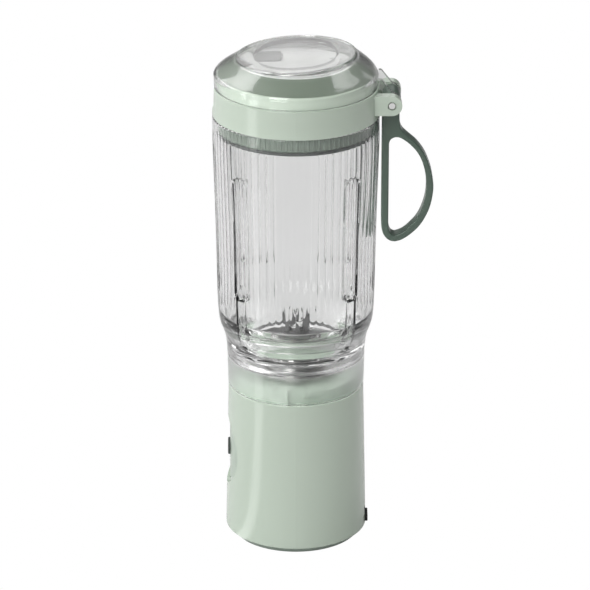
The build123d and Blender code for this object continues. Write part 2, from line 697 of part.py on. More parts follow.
with BuildPart() as vessel_collar:
    revolve(
        outline([
            (COLLAR_R[0], COLLAR_Z[0]), (COLLAR_R[1], 104.5), (36.6, COLLAR_Z[1]), (27.0, COLLAR_Z[1]),
            (27.0, 103.6), (33.0, 103.6), (COLLAR_R[1] - COLLAR_WALL, 102.0),
            (COLLAR_R[0] - COLLAR_WALL, COLLAR_Z[0]),
        ]),
        axis=Axis.Z,
    )
    # bayonet lugs, pointing inwards
    with BuildSketch(Plane.XY.offset(LUG_Z[0])):
        with PolarLocations(LUG_AT, LUGS):
            Rectangle(LUG_DEPTH, LUG_W)
    extrude(amount=LUG_Z[1] - LUG_Z[0])
vessel_collar.part.label = "vessel_collar"
export_step(vessel_collar.part, "parts/vessel_collar.step")

# ---------------------------------------------------------------- lid
with BuildPart() as lid_ring:
    revolve(
        outline([
            (RING_BORE_R, RING_Z[0]), (RING_R[0], RING_Z[0]), (RING_R[1], RING_Z[1]),
            (RING_INSIDE_R, RING_Z[1]), (RING_INSIDE_R, RING_STEP_Z), (RING_BORE_R, RING_STEP_Z),
        ]),
        axis=Axis.Z,
    )
    fillet(lid_ring.edges().group_by(Axis.Z)[-1].sort_by(SortBy.LENGTH)[-1], 0.4)
    # hinge ears
    for side in (-1, 1):
        ear_plane = Plane.YZ.offset(side * (EAR_X[0] + EAR_X[1]) / 2)
        with BuildSketch(ear_plane):
            with Locations((PIN_Y - 4.6, PIN_Z)):
                Rectangle(9.2, 2 * EAR_R)
            with Locations((PIN_Y, PIN_Z)):
                Circle(EAR_R)
        extrude(amount=(EAR_X[1] - EAR_X[0]) / 2, both=True)
    # the wall's inside is cleared again where the ears reach in
    revolve(tube(30.0, RING_INSIDE_R, RING_STEP_Z, RING_Z[1] + 2), axis=Axis.Z, mode=Mode.SUBTRACT)
    # pin bore, wider at the ends where the pin's heads sit
    with BuildSketch(Plane.YZ.offset(-EAR_X[1])):
        with Locations((PIN_Y, PIN_Z)):
            Circle(PIN_R)
    extrude(amount=2 * EAR_X[1], mode=Mode.SUBTRACT)
    for side in (-1, 1):
        with BuildSketch(Plane.YZ.offset(side * (EAR_X[1] - 0.75))):
            with Locations((PIN_Y, PIN_Z)):
                Circle(PIN_R + 0.35)
        extrude(amount=0.75, both=True, mode=Mode.SUBTRACT)
    # thumb notch at the front
    with BuildSketch(Plane.XY.offset(239.2)):
        with Locations((0, -RING_R[0] - 8.0 + 1.2)):
            RectangleRounded(17.0, 16.0, 3.0)
    extrude(amount=20, mode=Mode.SUBTRACT)
lid_ring.part.label = "lid_ring"
export_step(lid_ring.part, "parts/lid_ring.step")

with BuildPart() as lid_plug:
    revolve(
        outline([
            (PLUG_BORE_R, PLUG_Z), (PLUG_R - 0.8, PLUG_Z), (PLUG_R, PLUG_Z + 1.2), (PLUG_R, RING_Z[0]),
            (PLUG_BORE_R, RING_Z[0]),
        ]),
        axis=Axis.Z,
    )
lid_plug.part.label = "lid_plug"
export_step(lid_plug.part, "parts/lid_plug.step")

with BuildPart() as lid_gasket:
    revolve(tube(PLUG_BORE_R + 0.4, PLUG_R - 0.1, GASKET_Z, PLUG_Z), axis=Axis.Z)
    fillet(lid_gasket.edges().group_by(Axis.Z)[0], 0.6)
lid_gasket.part.label = "lid_gasket"
export_step(lid_gasket.part, "parts/lid_gasket.step")

with BuildPart() as lid_cone:
    revolve(
        outline([
            (36.6, RING_STEP_Z), (CONE_R, RING_STEP_Z), (CONE_R, 256.4), (38.4, 259.2), (34.4, 262.0),
            (DECK_PLATE_R + 0.6, CONE_TOP_Z), (DECK_PLATE_R - 0.4, CONE_TOP_Z),
            (DECK_PLATE_R - 0.4, DECK_PLATE_Z[0]), (33.6, 259.8), (CONE_R - 2.0, 255.6),
            (CONE_R - 2.0, RING_STEP_Z + 1.8), (36.6, RING_STEP_Z + 1.8),
        ]),
        axis=Axis.Z,
    )
lid_cone.part.label = "lid_cone"
export_step(lid_cone.part, "parts/lid_cone.step")

with BuildPart() as spout_deck:
    revolve(tube(0, DECK_PLATE_R - 0.4, *DECK_PLATE_Z), axis=Axis.Z)
    with BuildSketch(Plane.XY.offset(DECK_PLATE_Z[0])):
        with Locations(SPOUT_AT):
            RectangleRounded(*SPOUT_SIZE, 3.0)
    extrude(amount=3, mode=Mode.SUBTRACT)
    # raised middle, open round the stopper's pad
    with BuildSketch(Plane.XY.offset(DECK_PLATE_Z[1])):
        Circle(DECK_STEP_R)
        with Locations(SPOUT_AT):
            RectangleRounded(SPOUT_SIZE[0] + 3.6, SPOUT_SIZE[1] + 3.2, 4.0, mode=Mode.SUBTRACT)
    extrude(amount=DECK_STEP_H)
    with BuildSketch(Plane.XY.offset(DECK_PLATE_Z[0])):
        with Locations((0, VENT_Y)):
            Circle(1.5)
    extrude(amount=6, mode=Mode.SUBTRACT)
spout_deck.part.label = "spout_deck"
export_step(spout_deck.part, "parts/spout_deck.step")

with BuildPart() as hinge_pin:
    with BuildSketch(Plane.YZ.offset(-EAR_X[1] + 0.4)):
        with Locations((PIN_Y, PIN_Z)):
            Circle(PIN_R)
    extrude(amount=2 * EAR_X[1] - 0.8)
    chamfer(hinge_pin.edges(), 0.25)
hinge_pin.part.label = "hinge_pin"
export_step(hinge_pin.part, "parts/hinge_pin.step")

# ---------------------------------------------------------------- flip cap
PIN_PLAY = 0.08


def cap_section(z, radius, tilt):
    """One round section of the cap's flank, at height z and leaning with the top disc."""
    with BuildSketch(Plane((0, 0, z)).rotated((tilt, 0, 0))) as section:
        Circle(radius)
    return section.sketch


# radius and height of the flank's S-shaped section, from the rim up to the disc
FLANK = [
    (CAP_R, CAP_RIM_Z[1]), (42.6, 261.3), (40.6, 263.0), (37.6, 264.9), (35.0, 266.6), (32.8, 268.2),
    (DISC_R, DISC_Z),
]
FLANK_INSIDE = [
    (CAP_R - CAP_WALL, CAP_RIM_Z[1] - 0.6), (40.7, 260.2), (38.8, 261.6), (35.8, 263.3), (33.2, 264.7),
    (31.2, 266.0), (DISC_R - 1.8, DISC_Z - CAP_WALL),
]


def flank(points):
    """Sections through the flank, each leaning a little more, up to the disc's tilt."""
    low = points[0][1]
    span = points[-1][1] - low
    return [cap_section(z, radius, DISC_TILT * (z - low) / span) for radius, z in points]


with BuildPart() as cap_hollow:
    loft(flank(FLANK_INSIDE))
    with BuildSketch(Plane.XY.offset(CAP_RIM_Z[0] - 1)):
        Circle(CAP_R - CAP_WALL)
    extrude(amount=CAP_RIM_Z[1] - CAP_RIM_Z[0] + 0.4)

with BuildPart() as flip_cap:
    loft(flank(FLANK))
    with BuildSketch(Plane.XY.offset(CAP_RIM_Z[0])):
        Circle(CAP_R)
    extrude(amount=CAP_RIM_Z[1] - CAP_RIM_Z[0])
    # the arms that carry the cap on the hinge pin
    for side in (-1, 1):
        arm_plane = Plane.YZ.offset(side * (CAP_LUG_X[0] + CAP_LUG_X[1]) / 2)
        with BuildSketch(arm_plane):
            with BuildLine():
                Polyline(
                    (PIN_Y - 5.0, PIN_Z), (PIN_Y - 4.9, 252.2), (PIN_Y - 5.8, CAP_RIM_Z[0]),
                    (PIN_Y - 9.5, CAP_RIM_Z[0]), (PIN_Y - 9.5, 258.6), (PIN_Y - 5.4, 258.6),
                    (PIN_Y + 3.6, PIN_Z + 3.47), (PIN_Y, PIN_Z), close=True,
                )
            make_face()
            with Locations((PIN_Y, PIN_Z)):
                Circle(5.0)
        extrude(amount=(CAP_LUG_X[1] - CAP_LUG_X[0]) / 2, both=True)
    add(cap_hollow.part, mode=Mode.SUBTRACT)
    with BuildSketch(Plane.YZ.offset(-12)):
        with Locations((PIN_Y, PIN_Z)):
            Circle(PIN_R + PIN_PLAY)
    extrude(amount=24, mode=Mode.SUBTRACT)
    # shallow dish in the top disc
    with BuildSketch(Plane((0, 0, DISC_Z - DISH_DEPTH)).rotated((DISC_TILT, 0, 0))):
        Circle(DISH_R)
    extrude(amount=4, mode=Mode.SUBTRACT)
flip_cap.part.label = "flip_cap"
export_step(flip_cap.part, "parts/flip_cap.step")

with BuildPart() as spout_stopper:
    # the pad under the disc fills the gap down to the deck, and a short plug enters the spout
    with BuildSketch(Plane.XY.offset(263.4)):
        with Locations(SPOUT_AT):
            RectangleRounded(SPOUT_SIZE[0] - 2.6, SPOUT_SIZE[1] - 2.6, 2.4)
    extrude(amount=1.4)
    with BuildSketch(Plane.XY.offset(264.5)):
        with Locations(SPOUT_AT):
            RectangleRounded(SPOUT_SIZE[0] + 2.0, SPOUT_SIZE[1] + 1.6, 3.4)
    extrude(amount=4.0)
    with BuildSketch(Plane((0, 0, DISC_Z - CAP_WALL)).rotated((DISC_TILT, 0, 0))):
        Circle(40.0)
    extrude(amount=6, mode=Mode.SUBTRACT)
spout_stopper.part.label = "spout_stopper"
export_step(spout_stopper.part, "parts/spout_stopper.step")

# ---------------------------------------------------------------- carry loop
LOOP_NECK_Y = 53.7           # the outer side of the loop's neck, below the knuckle
LOOP_TOP_Z = 241.0
LOOP_INNER_Y = 44.6          # the loop's straight side, next to the vessel
LOOP_BAR_Y = 48.4            # the inner edge of that side
BELLY = [
    (52.0, 166.9), (55.6, 168.0), (60.0, 171.0), (64.5, 175.5), (68.0, 181.2), (70.5, 187.9), (71.8, 196.6),
    (71.1, 202.6), (69.6, 209.3), (66.8, 216.0), (62.7, 221.6), (57.8, 226.0), (55.0, 228.6),
    (LOOP_NECK_Y, 232.5),
]
HOLLOW = [
    (51.8, 170.5), (55.9, 172.2), (59.9, 175.8), (63.5, 180.3), (66.3, 186.2), (67.9, 194.5), (67.6, 204.7),
    (65.8, 211.4), (62.9, 217.0), (58.9, 221.4), (54.5, 224.4),
]

with BuildPart() as carry_loop:
    with BuildSketch(Plane.YZ):
        with BuildLine():
            Polyline(BELLY[-1], (LOOP_NECK_Y, LOOP_TOP_Z), (LOOP_INNER_Y, LOOP_TOP_Z), (LOOP_INNER_Y, 178.0))
            ThreePointArc((LOOP_INNER_Y, 178.0), (46.2, 170.4), BELLY[0])
            Spline(*BELLY)
        make_face()
        with BuildLine():
            Line((LOOP_BAR_Y, 221.4), (LOOP_BAR_Y, 176.8))
            ThreePointArc((LOOP_BAR_Y, 176.8), (49.1, 172.1), HOLLOW[0])
            Spline(*HOLLOW)
            ThreePointArc(HOLLOW[-1], (50.3, 224.6), (LOOP_BAR_Y, 221.4))
        make_face(mode=Mode.SUBTRACT)
    extrude(amount=LOOP_W / 2, both=True)
    # knuckle round the hinge pin
    with BuildSketch(Plane.YZ):
        with Locations((PIN_Y, PIN_Z)):
            Circle(KNUCKLE_R)
    extrude(amount=KNUCKLE_HALF, both=True)
    with BuildSketch(Plane.YZ):
        with Locations((PIN_Y, PIN_Z - 4.0)):
            Rectangle(8.2, 3.6)
    extrude(amount=LOOP_W / 2, both=True)
    with BuildSketch(Plane.YZ):
        with Locations((PIN_Y, PIN_Z)):
            Circle(PIN_R + PIN_PLAY)
    extrude(amount=KNUCKLE_HALF + 1, both=True, mode=Mode.SUBTRACT)
carry_loop.part.label = "carry_loop"
export_step(carry_loop.part, "parts/carry_loop.step")
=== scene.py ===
"""Looks for a cordless portable blender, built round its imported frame.

Each sub-assembly is a class: its sizes are fields, its methods build meshes and dress them.
Lengths are in metres in Blender and in millimetres in the classes' fields.
"""
import logging
import math
from dataclasses import dataclass, field
from enum import Enum
from typing import Callable, Iterable, Optional, Sequence

import bmesh
import bpy
import numpy as np
from mathutils import Matrix, Vector


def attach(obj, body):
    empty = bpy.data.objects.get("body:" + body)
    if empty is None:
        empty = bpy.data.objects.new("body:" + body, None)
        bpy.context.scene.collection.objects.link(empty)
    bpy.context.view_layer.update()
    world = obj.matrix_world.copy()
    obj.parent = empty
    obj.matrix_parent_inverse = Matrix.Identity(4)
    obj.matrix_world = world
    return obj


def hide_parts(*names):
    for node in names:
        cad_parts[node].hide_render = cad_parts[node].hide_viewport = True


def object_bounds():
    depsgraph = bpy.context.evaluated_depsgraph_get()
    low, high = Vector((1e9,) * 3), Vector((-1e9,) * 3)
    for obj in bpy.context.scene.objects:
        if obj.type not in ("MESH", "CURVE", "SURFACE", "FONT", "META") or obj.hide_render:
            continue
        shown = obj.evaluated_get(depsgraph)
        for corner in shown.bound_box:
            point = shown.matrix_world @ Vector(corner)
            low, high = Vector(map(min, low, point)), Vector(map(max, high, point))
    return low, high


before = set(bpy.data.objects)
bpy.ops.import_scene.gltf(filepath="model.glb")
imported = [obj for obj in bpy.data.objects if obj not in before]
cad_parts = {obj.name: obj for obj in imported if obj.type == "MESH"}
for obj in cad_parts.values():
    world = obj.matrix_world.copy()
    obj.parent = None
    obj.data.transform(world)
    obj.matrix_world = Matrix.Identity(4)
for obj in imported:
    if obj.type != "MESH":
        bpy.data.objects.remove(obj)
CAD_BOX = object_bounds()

LOG = logging.getLogger("blender_scene")
MM = 0.001
WELD = 1e-6
ROUND_COLUMNS = 192

Point = tuple[float, float]
Colour = tuple[float, float, float]
Span = tuple[float, float]
Shape = Callable[[np.ndarray, np.ndarray, np.ndarray], np.ndarray]

# The hinge pin that the cap and the loop share: its (Y, Z) place and the radius of the holes round it.
PIN: Point = (49.5, 246.0)
PIN_HOLE = 1.98


# ---------------------------------------------------------------- shared shader groups
class GroupKit:
    """Builds the node groups that several finishes share, each of them once."""

    WEAR_RAMP: Span = (0.52, 0.62)
    WEAR_BREAKUP = 300.0
    WIPE_STRETCH = (1.0, 1.0, 0.35)
    SMUDGE_RANGE: Span = (0.3, 0.7)

    def __init__(self) -> None:
        """Start with no groups built."""
        self.made: dict[str, bpy.types.NodeTree] = {}

    def _start(self, name: str, inputs: Sequence[tuple], outputs: Sequence[tuple]) -> tuple:
        """Make an empty group with its sockets.

        Args:
            name: the group's name.
            inputs: (name, socket type, default) of each input.
            outputs: (name, socket type) of each output.

        Returns:
            The tree, its input node and its output node.
        """
        tree = bpy.data.node_groups.new(name, "ShaderNodeTree")
        for label, kind, default in inputs:
            socket = tree.interface.new_socket(label, in_out="INPUT", socket_type=kind)
            socket.default_value = default
        for label, kind in outputs:
            tree.interface.new_socket(label, in_out="OUTPUT", socket_type=kind)
        self.made[name] = tree
        return tree, tree.nodes.new("NodeGroupInput"), tree.nodes.new("NodeGroupOutput")

    def grain(self) -> bpy.types.NodeTree:
        """Moulded grain: a fine height and a slow drift mask, in object space."""
        if "Moulded grain" in self.made:
            return self.made["Moulded grain"]
        tree, source, sink = self._start(
            "Moulded grain",
            [("Grain scale", "NodeSocketFloat", 1500.0), ("Drift scale", "NodeSocketFloat", 25.0)],
            [("Height", "NodeSocketFloat"), ("Drift", "NodeSocketFloat")],
        )
        place = tree.nodes.new("ShaderNodeTexCoord")
        for label, socket, detail in (("Height", "Grain scale", 3.0), ("Drift", "Drift scale", 2.0)):
            noise = tree.nodes.new("ShaderNodeTexNoise")
            noise.inputs["Detail"].default_value = detail
            tree.links.new(place.outputs["Object"], noise.inputs["Vector"])
            tree.links.new(source.outputs[socket], noise.inputs["Scale"])
            tree.links.new(noise.outputs["Fac"], sink.inputs[label])
        return tree

    def edge_wear(self) -> bpy.types.NodeTree:
        """Edge wear: lightens the colour where the surface turns outwards sharply."""
        if "Edge wear" in self.made:
            return self.made["Edge wear"]
        tree, source, sink = self._start(
            "Edge wear",
            [
                ("Colour", "NodeSocketColor", (0.8, 0.8, 0.8, 1.0)),
                ("Worn colour", "NodeSocketColor", (1.0, 1.0, 1.0, 1.0)),
                ("Amount", "NodeSocketFloat", 0.3),
            ],
            [("Colour", "NodeSocketColor"), ("Mask", "NodeSocketFloat")],
        )
        shape = tree.nodes.new("ShaderNodeNewGeometry")
        ramp = tree.nodes.new("ShaderNodeMapRange")
        ramp.inputs["From Min"].default_value, ramp.inputs["From Max"].default_value = self.WEAR_RAMP
        place = tree.nodes.new("ShaderNodeTexCoord")
        noise = tree.nodes.new("ShaderNodeTexNoise")
        noise.inputs["Scale"].default_value = self.WEAR_BREAKUP
        broken = tree.nodes.new("ShaderNodeMath")
        broken.operation = "MULTIPLY"
        amount = tree.nodes.new("ShaderNodeMath")
        amount.operation = "MULTIPLY"
        amount.use_clamp = True
        mix = tree.nodes.new("ShaderNodeMix")
        mix.data_type = "RGBA"
        links = tree.links
        links.new(shape.outputs["Pointiness"], ramp.inputs["Value"])
        links.new(place.outputs["Object"], noise.inputs["Vector"])
        links.new(ramp.outputs["Result"], broken.inputs[0])
        links.new(noise.outputs["Fac"], broken.inputs[1])
        links.new(broken.outputs["Value"], amount.inputs[0])
        links.new(source.outputs["Amount"], amount.inputs[1])
        links.new(amount.outputs["Value"], mix.inputs["Factor"])
        links.new(source.outputs["Colour"], mix.inputs["A"])
        links.new(source.outputs["Worn colour"], mix.inputs["B"])
        links.new(mix.outputs["Result"], sink.inputs["Colour"])
        links.new(amount.outputs["Value"], sink.inputs["Mask"])
        return tree

    def handling(self) -> bpy.types.NodeTree:
        """Handling: faint smudges and upright wipe lines, as one roughness mask."""
        if "Handling" in self.made:
            return self.made["Handling"]
        tree, source, sink = self._start(
            "Handling",
            [
                ("Low", "NodeSocketFloat", 0.2),
                ("High", "NodeSocketFloat", 0.3),
                ("Scale", "NodeSocketFloat", 40.0),
            ],
            [("Roughness", "NodeSocketFloat"), ("Mask", "NodeSocketFloat")],
        )
        place = tree.nodes.new("ShaderNodeTexCoord")
        stretch = tree.nodes.new("ShaderNodeMapping")
        stretch.inputs["Scale"].default_value = self.WIPE_STRETCH
        noise = tree.nodes.new("ShaderNodeTexNoise")
        noise.inputs["Detail"].default_value = 4.0
        spread = tree.nodes.new("ShaderNodeMapRange")
        links = tree.links
        links.new(place.outputs["Object"], stretch.inputs["Vector"])
        links.new(stretch.outputs["Vector"], noise.inputs["Vector"])
        links.new(source.outputs["Scale"], noise.inputs["Scale"])
        links.new(noise.outputs["Fac"], spread.inputs["Value"])
        spread.inputs["From Min"].default_value, spread.inputs["From Max"].default_value = self.SMUDGE_RANGE
        links.new(source.outputs["Low"], spread.inputs["To Min"])
        links.new(source.outputs["High"], spread.inputs["To Max"])
        links.new(spread.outputs["Result"], sink.inputs["Roughness"])
        links.new(noise.outputs["Fac"], sink.inputs["Mask"])
        return tree

    def brushing(self) -> bpy.types.NodeTree:
        """Brushing: fine rings round the body axis, as height and mask, for turned and ground metal."""
        if "Brushing" in self.made:
            return self.made["Brushing"]
        tree, source, sink = self._start(
            "Brushing",
            [("Ring scale", "NodeSocketFloat", 1800.0)],
            [("Height", "NodeSocketFloat"), ("Mask", "NodeSocketFloat")],
        )
        place = tree.nodes.new("ShaderNodeTexCoord")
        parts = tree.nodes.new("ShaderNodeSeparateXYZ")
        across = tree.nodes.new("ShaderNodeVectorMath")
        across.operation = "MULTIPLY"
        across.inputs[1].default_value = (1.0, 1.0, 0.0)
        reach = tree.nodes.new("ShaderNodeVectorMath")
        reach.operation = "LENGTH"
        join = tree.nodes.new("ShaderNodeCombineXYZ")
        noise = tree.nodes.new("ShaderNodeTexNoise")
        noise.inputs["Detail"].default_value = 2.0
        links = tree.links
        links.new(place.outputs["Object"], parts.inputs["Vector"])
        links.new(place.outputs["Object"], across.inputs[0])
        links.new(across.outputs["Vector"], reach.inputs[0])
        links.new(reach.outputs["Value"], join.inputs["X"])
        links.new(parts.outputs["Z"], join.inputs["Y"])
        links.new(join.outputs["Vector"], noise.inputs["Vector"])
        links.new(source.outputs["Ring scale"], noise.inputs["Scale"])
        links.new(noise.outputs["Fac"], sink.inputs["Height"])
        links.new(noise.outputs["Fac"], sink.inputs["Mask"])
        return tree


GROUPS = GroupKit()


class Grain(Enum):
    """How coarse a moulded surface's grain is, as noise cycles per metre."""

    POLISHED = 500.0
    SATIN = 1800.0
    SOFT = 2600.0


def new_material(name: str) -> tuple[bpy.types.Material, bpy.types.ShaderNode]:
    """Make a node material.

    Args:
        name: the material's name.

    Returns:
        The material and its Principled BSDF.
    """
    material = bpy.data.materials.new(name)
    material.use_nodes = True
    return material, material.node_tree.nodes["Principled BSDF"]


def place_group(material: bpy.types.Material, tree: bpy.types.NodeTree,
                **values: object) -> bpy.types.ShaderNode:
    """Place a shared group in a material.

    Args:
        material: the material that uses it.
        tree: the group.
        values: input values by socket name, with _ for a space.

    Returns:
        The group's node.
    """
    node = material.node_tree.nodes.new("ShaderNodeGroup")
    node.node_tree = tree
    for label, value in values.items():
        node.inputs[label.replace("_", " ")].default_value = value
    return node


def add_bump(material: bpy.types.Material, bsdf: bpy.types.ShaderNode, height: bpy.types.NodeSocket,
             strength: float, distance: float) -> None:
    """Feed a height into the material's normal.

    Args:
        material: the material.
        bsdf: its Principled BSDF.
        height: the socket that gives the height.
        strength: the bump's strength.
        distance: the height of a full step, in metres.
    """
    bump = material.node_tree.nodes.new("ShaderNodeBump")
    bump.inputs["Strength"].default_value = strength
    bump.inputs["Distance"].default_value = distance
    material.node_tree.links.new(height, bump.inputs["Height"])
    material.node_tree.links.new(bump.outputs["Normal"], bsdf.inputs["Normal"])


# ---------------------------------------------------------------- finishes
@dataclass(frozen=True)
class Plastic:
    """Opaque moulded plastic or rubber."""

    name: str
    colour: Colour
    roughness: tuple[float, float] = (0.24, 0.32)
    coat: float = 0.0
    grain: Grain = Grain.SATIN
    bump: float = 0.12
    wear: float = 0.25
    drift: float = 0.06
    worn_gain: float = 1.25
    worn_lift: float = 0.05
    coat_roughness: float = 0.06
    grain_step: float = 0.0001

    def make(self) -> bpy.types.Material:
        """Build the material: drifting colour, worn edges, smudged roughness and grain."""
        material, bsdf = new_material(self.name)
        nodes, links = material.node_tree.nodes, material.node_tree.links
        grain = place_group(material, GROUPS.grain(), Grain_scale=self.grain.value)
        dark = tuple(value * (1.0 - self.drift) for value in self.colour)
        pale = tuple(min(1.0, value * (1.0 + self.drift)) for value in self.colour)
        worn = tuple(min(1.0, value * self.worn_gain + self.worn_lift) for value in self.colour)
        mix = nodes.new("ShaderNodeMix")
        mix.data_type = "RGBA"
        mix.inputs["A"].default_value = (*dark, 1.0)
        mix.inputs["B"].default_value = (*pale, 1.0)
        wear = place_group(material, GROUPS.edge_wear(), Worn_colour=(*worn, 1.0), Amount=self.wear)
        smudge = place_group(material, GROUPS.handling(), Low=self.roughness[0], High=self.roughness[1])
        links.new(grain.outputs["Drift"], mix.inputs["Factor"])
        links.new(mix.outputs["Result"], wear.inputs["Colour"])
        links.new(wear.outputs["Colour"], bsdf.inputs["Base Color"])
        links.new(smudge.outputs["Roughness"], bsdf.inputs["Roughness"])
        bsdf.inputs["Coat Weight"].default_value = self.coat
        bsdf.inputs["Coat Roughness"].default_value = self.coat_roughness
        add_bump(material, bsdf, grain.outputs["Height"], self.bump, self.grain_step)
        return material


@dataclass(frozen=True)
class Clear:
    """Clear or frosted moulded plastic, with faint flow and fine handling marks."""

    name: str
    tint: Colour = (0.985, 0.99, 0.985)
    roughness: tuple[float, float] = (0.0, 0.03)
    ior: float = 1.49
    bump: float = 0.02
    transmission: float = 1.0
    flow_scale: float = 180.0
    drift_scale: float = 30.0
    flow_step: float = 0.0002

    def make(self) -> bpy.types.Material:
        """Build the material: transmission, a faint tint drift and a slight flow bump."""
        material, bsdf = new_material(self.name)
        nodes, links = material.node_tree.nodes, material.node_tree.links
        grain = place_group(
            material, GROUPS.grain(), Grain_scale=self.flow_scale, Drift_scale=self.drift_scale
        )
        mix = nodes.new("ShaderNodeMix")
        mix.data_type = "RGBA"
        mix.inputs["A"].default_value = (*self.tint, 1.0)
        mix.inputs["B"].default_value = (1.0, 1.0, 1.0, 1.0)
        smudge = place_group(material, GROUPS.handling(), Low=self.roughness[0], High=self.roughness[1])
        links.new(grain.outputs["Drift"], mix.inputs["Factor"])
        links.new(mix.outputs["Result"], bsdf.inputs["Base Color"])
        links.new(smudge.outputs["Roughness"], bsdf.inputs["Roughness"])
        bsdf.inputs["Transmission Weight"].default_value = self.transmission
        bsdf.inputs["IOR"].default_value = self.ior
        add_bump(material, bsdf, grain.outputs["Height"], self.bump, self.flow_step)
        return material


@dataclass(frozen=True)
class Metal:
    """Turned, ground or plated metal."""

    name: str
    colour: Colour = (0.72, 0.72, 0.71)
    roughness: tuple[float, float] = (0.18, 0.34)
    bump: float = 0.1
    anisotropy: float = 0.4
    low_share: float = 0.86
    ring_step: float = 0.00005

    def make(self) -> bpy.types.Material:
        """Build the material: fine rings in the normal and the roughness, drifting colour."""
        material, bsdf = new_material(self.name)
        nodes, links = material.node_tree.nodes, material.node_tree.links
        rings = place_group(material, GROUPS.brushing())
        spread = nodes.new("ShaderNodeMapRange")
        spread.inputs["To Min"].default_value, spread.inputs["To Max"].default_value = self.roughness
        mix = nodes.new("ShaderNodeMix")
        mix.data_type = "RGBA"
        mix.inputs["A"].default_value = (*(value * self.low_share for value in self.colour), 1.0)
        mix.inputs["B"].default_value = (*self.colour, 1.0)
        links.new(rings.outputs["Mask"], spread.inputs["Value"])
        links.new(spread.outputs["Result"], bsdf.inputs["Roughness"])
        links.new(rings.outputs["Mask"], mix.inputs["Factor"])
        links.new(mix.outputs["Result"], bsdf.inputs["Base Color"])
        bsdf.inputs["Metallic"].default_value = 1.0
        bsdf.inputs["Anisotropic"].default_value = self.anisotropy
        add_bump(material, bsdf, rings.outputs["Height"], self.bump, self.ring_step)
        return material


@dataclass(frozen=True)
class Board:
    """Solder-masked circuit board with paler tracks."""

    name: str
    mask: Colour = (0.02, 0.12, 0.05)
    track: Colour = (0.05, 0.24, 0.10)
    cells_per_metre: float = 420.0
    track_edge: Span = (0.05, 0.09)
    roughness: float = 0.3
    bump: float = 0.3
    mask_step: float = 0.00005

    def make(self) -> bpy.types.Material:
        """Build the material: a stepped track pattern under a glossy mask."""
        material, bsdf = new_material(self.name)
        nodes, links = material.node_tree.nodes, material.node_tree.links
        place = nodes.new("ShaderNodeTexCoord")
        cells = nodes.new("ShaderNodeTexVoronoi")
        cells.feature = "DISTANCE_TO_EDGE"
        cells.inputs["Scale"].default_value = self.cells_per_metre
        step = nodes.new("ShaderNodeMapRange")
        step.inputs["From Min"].default_value, step.inputs["From Max"].default_value = self.track_edge
        mix = nodes.new("ShaderNodeMix")
        mix.data_type = "RGBA"
        mix.inputs["A"].default_value = (*self.track, 1.0)
        mix.inputs["B"].default_value = (*self.mask, 1.0)
        links.new(place.outputs["Object"], cells.inputs["Vector"])
        links.new(cells.outputs["Distance"], step.inputs["Value"])
        links.new(step.outputs["Result"], mix.inputs["Factor"])
        links.new(mix.outputs["Result"], bsdf.inputs["Base Color"])
        bsdf.inputs["Roughness"].default_value = self.roughness
        add_bump(material, bsdf, step.outputs["Result"], self.bump, self.mask_step)
        return material


SAGE = (0.53, 0.615, 0.52)
# Painted shade: a darker copy of SAGE for the lid cone's slope, which lies in the cap's shade.
SAGE_PAINTED_SHADE = (0.15, 0.19, 0.145)
FOREST = (0.085, 0.125, 0.098)


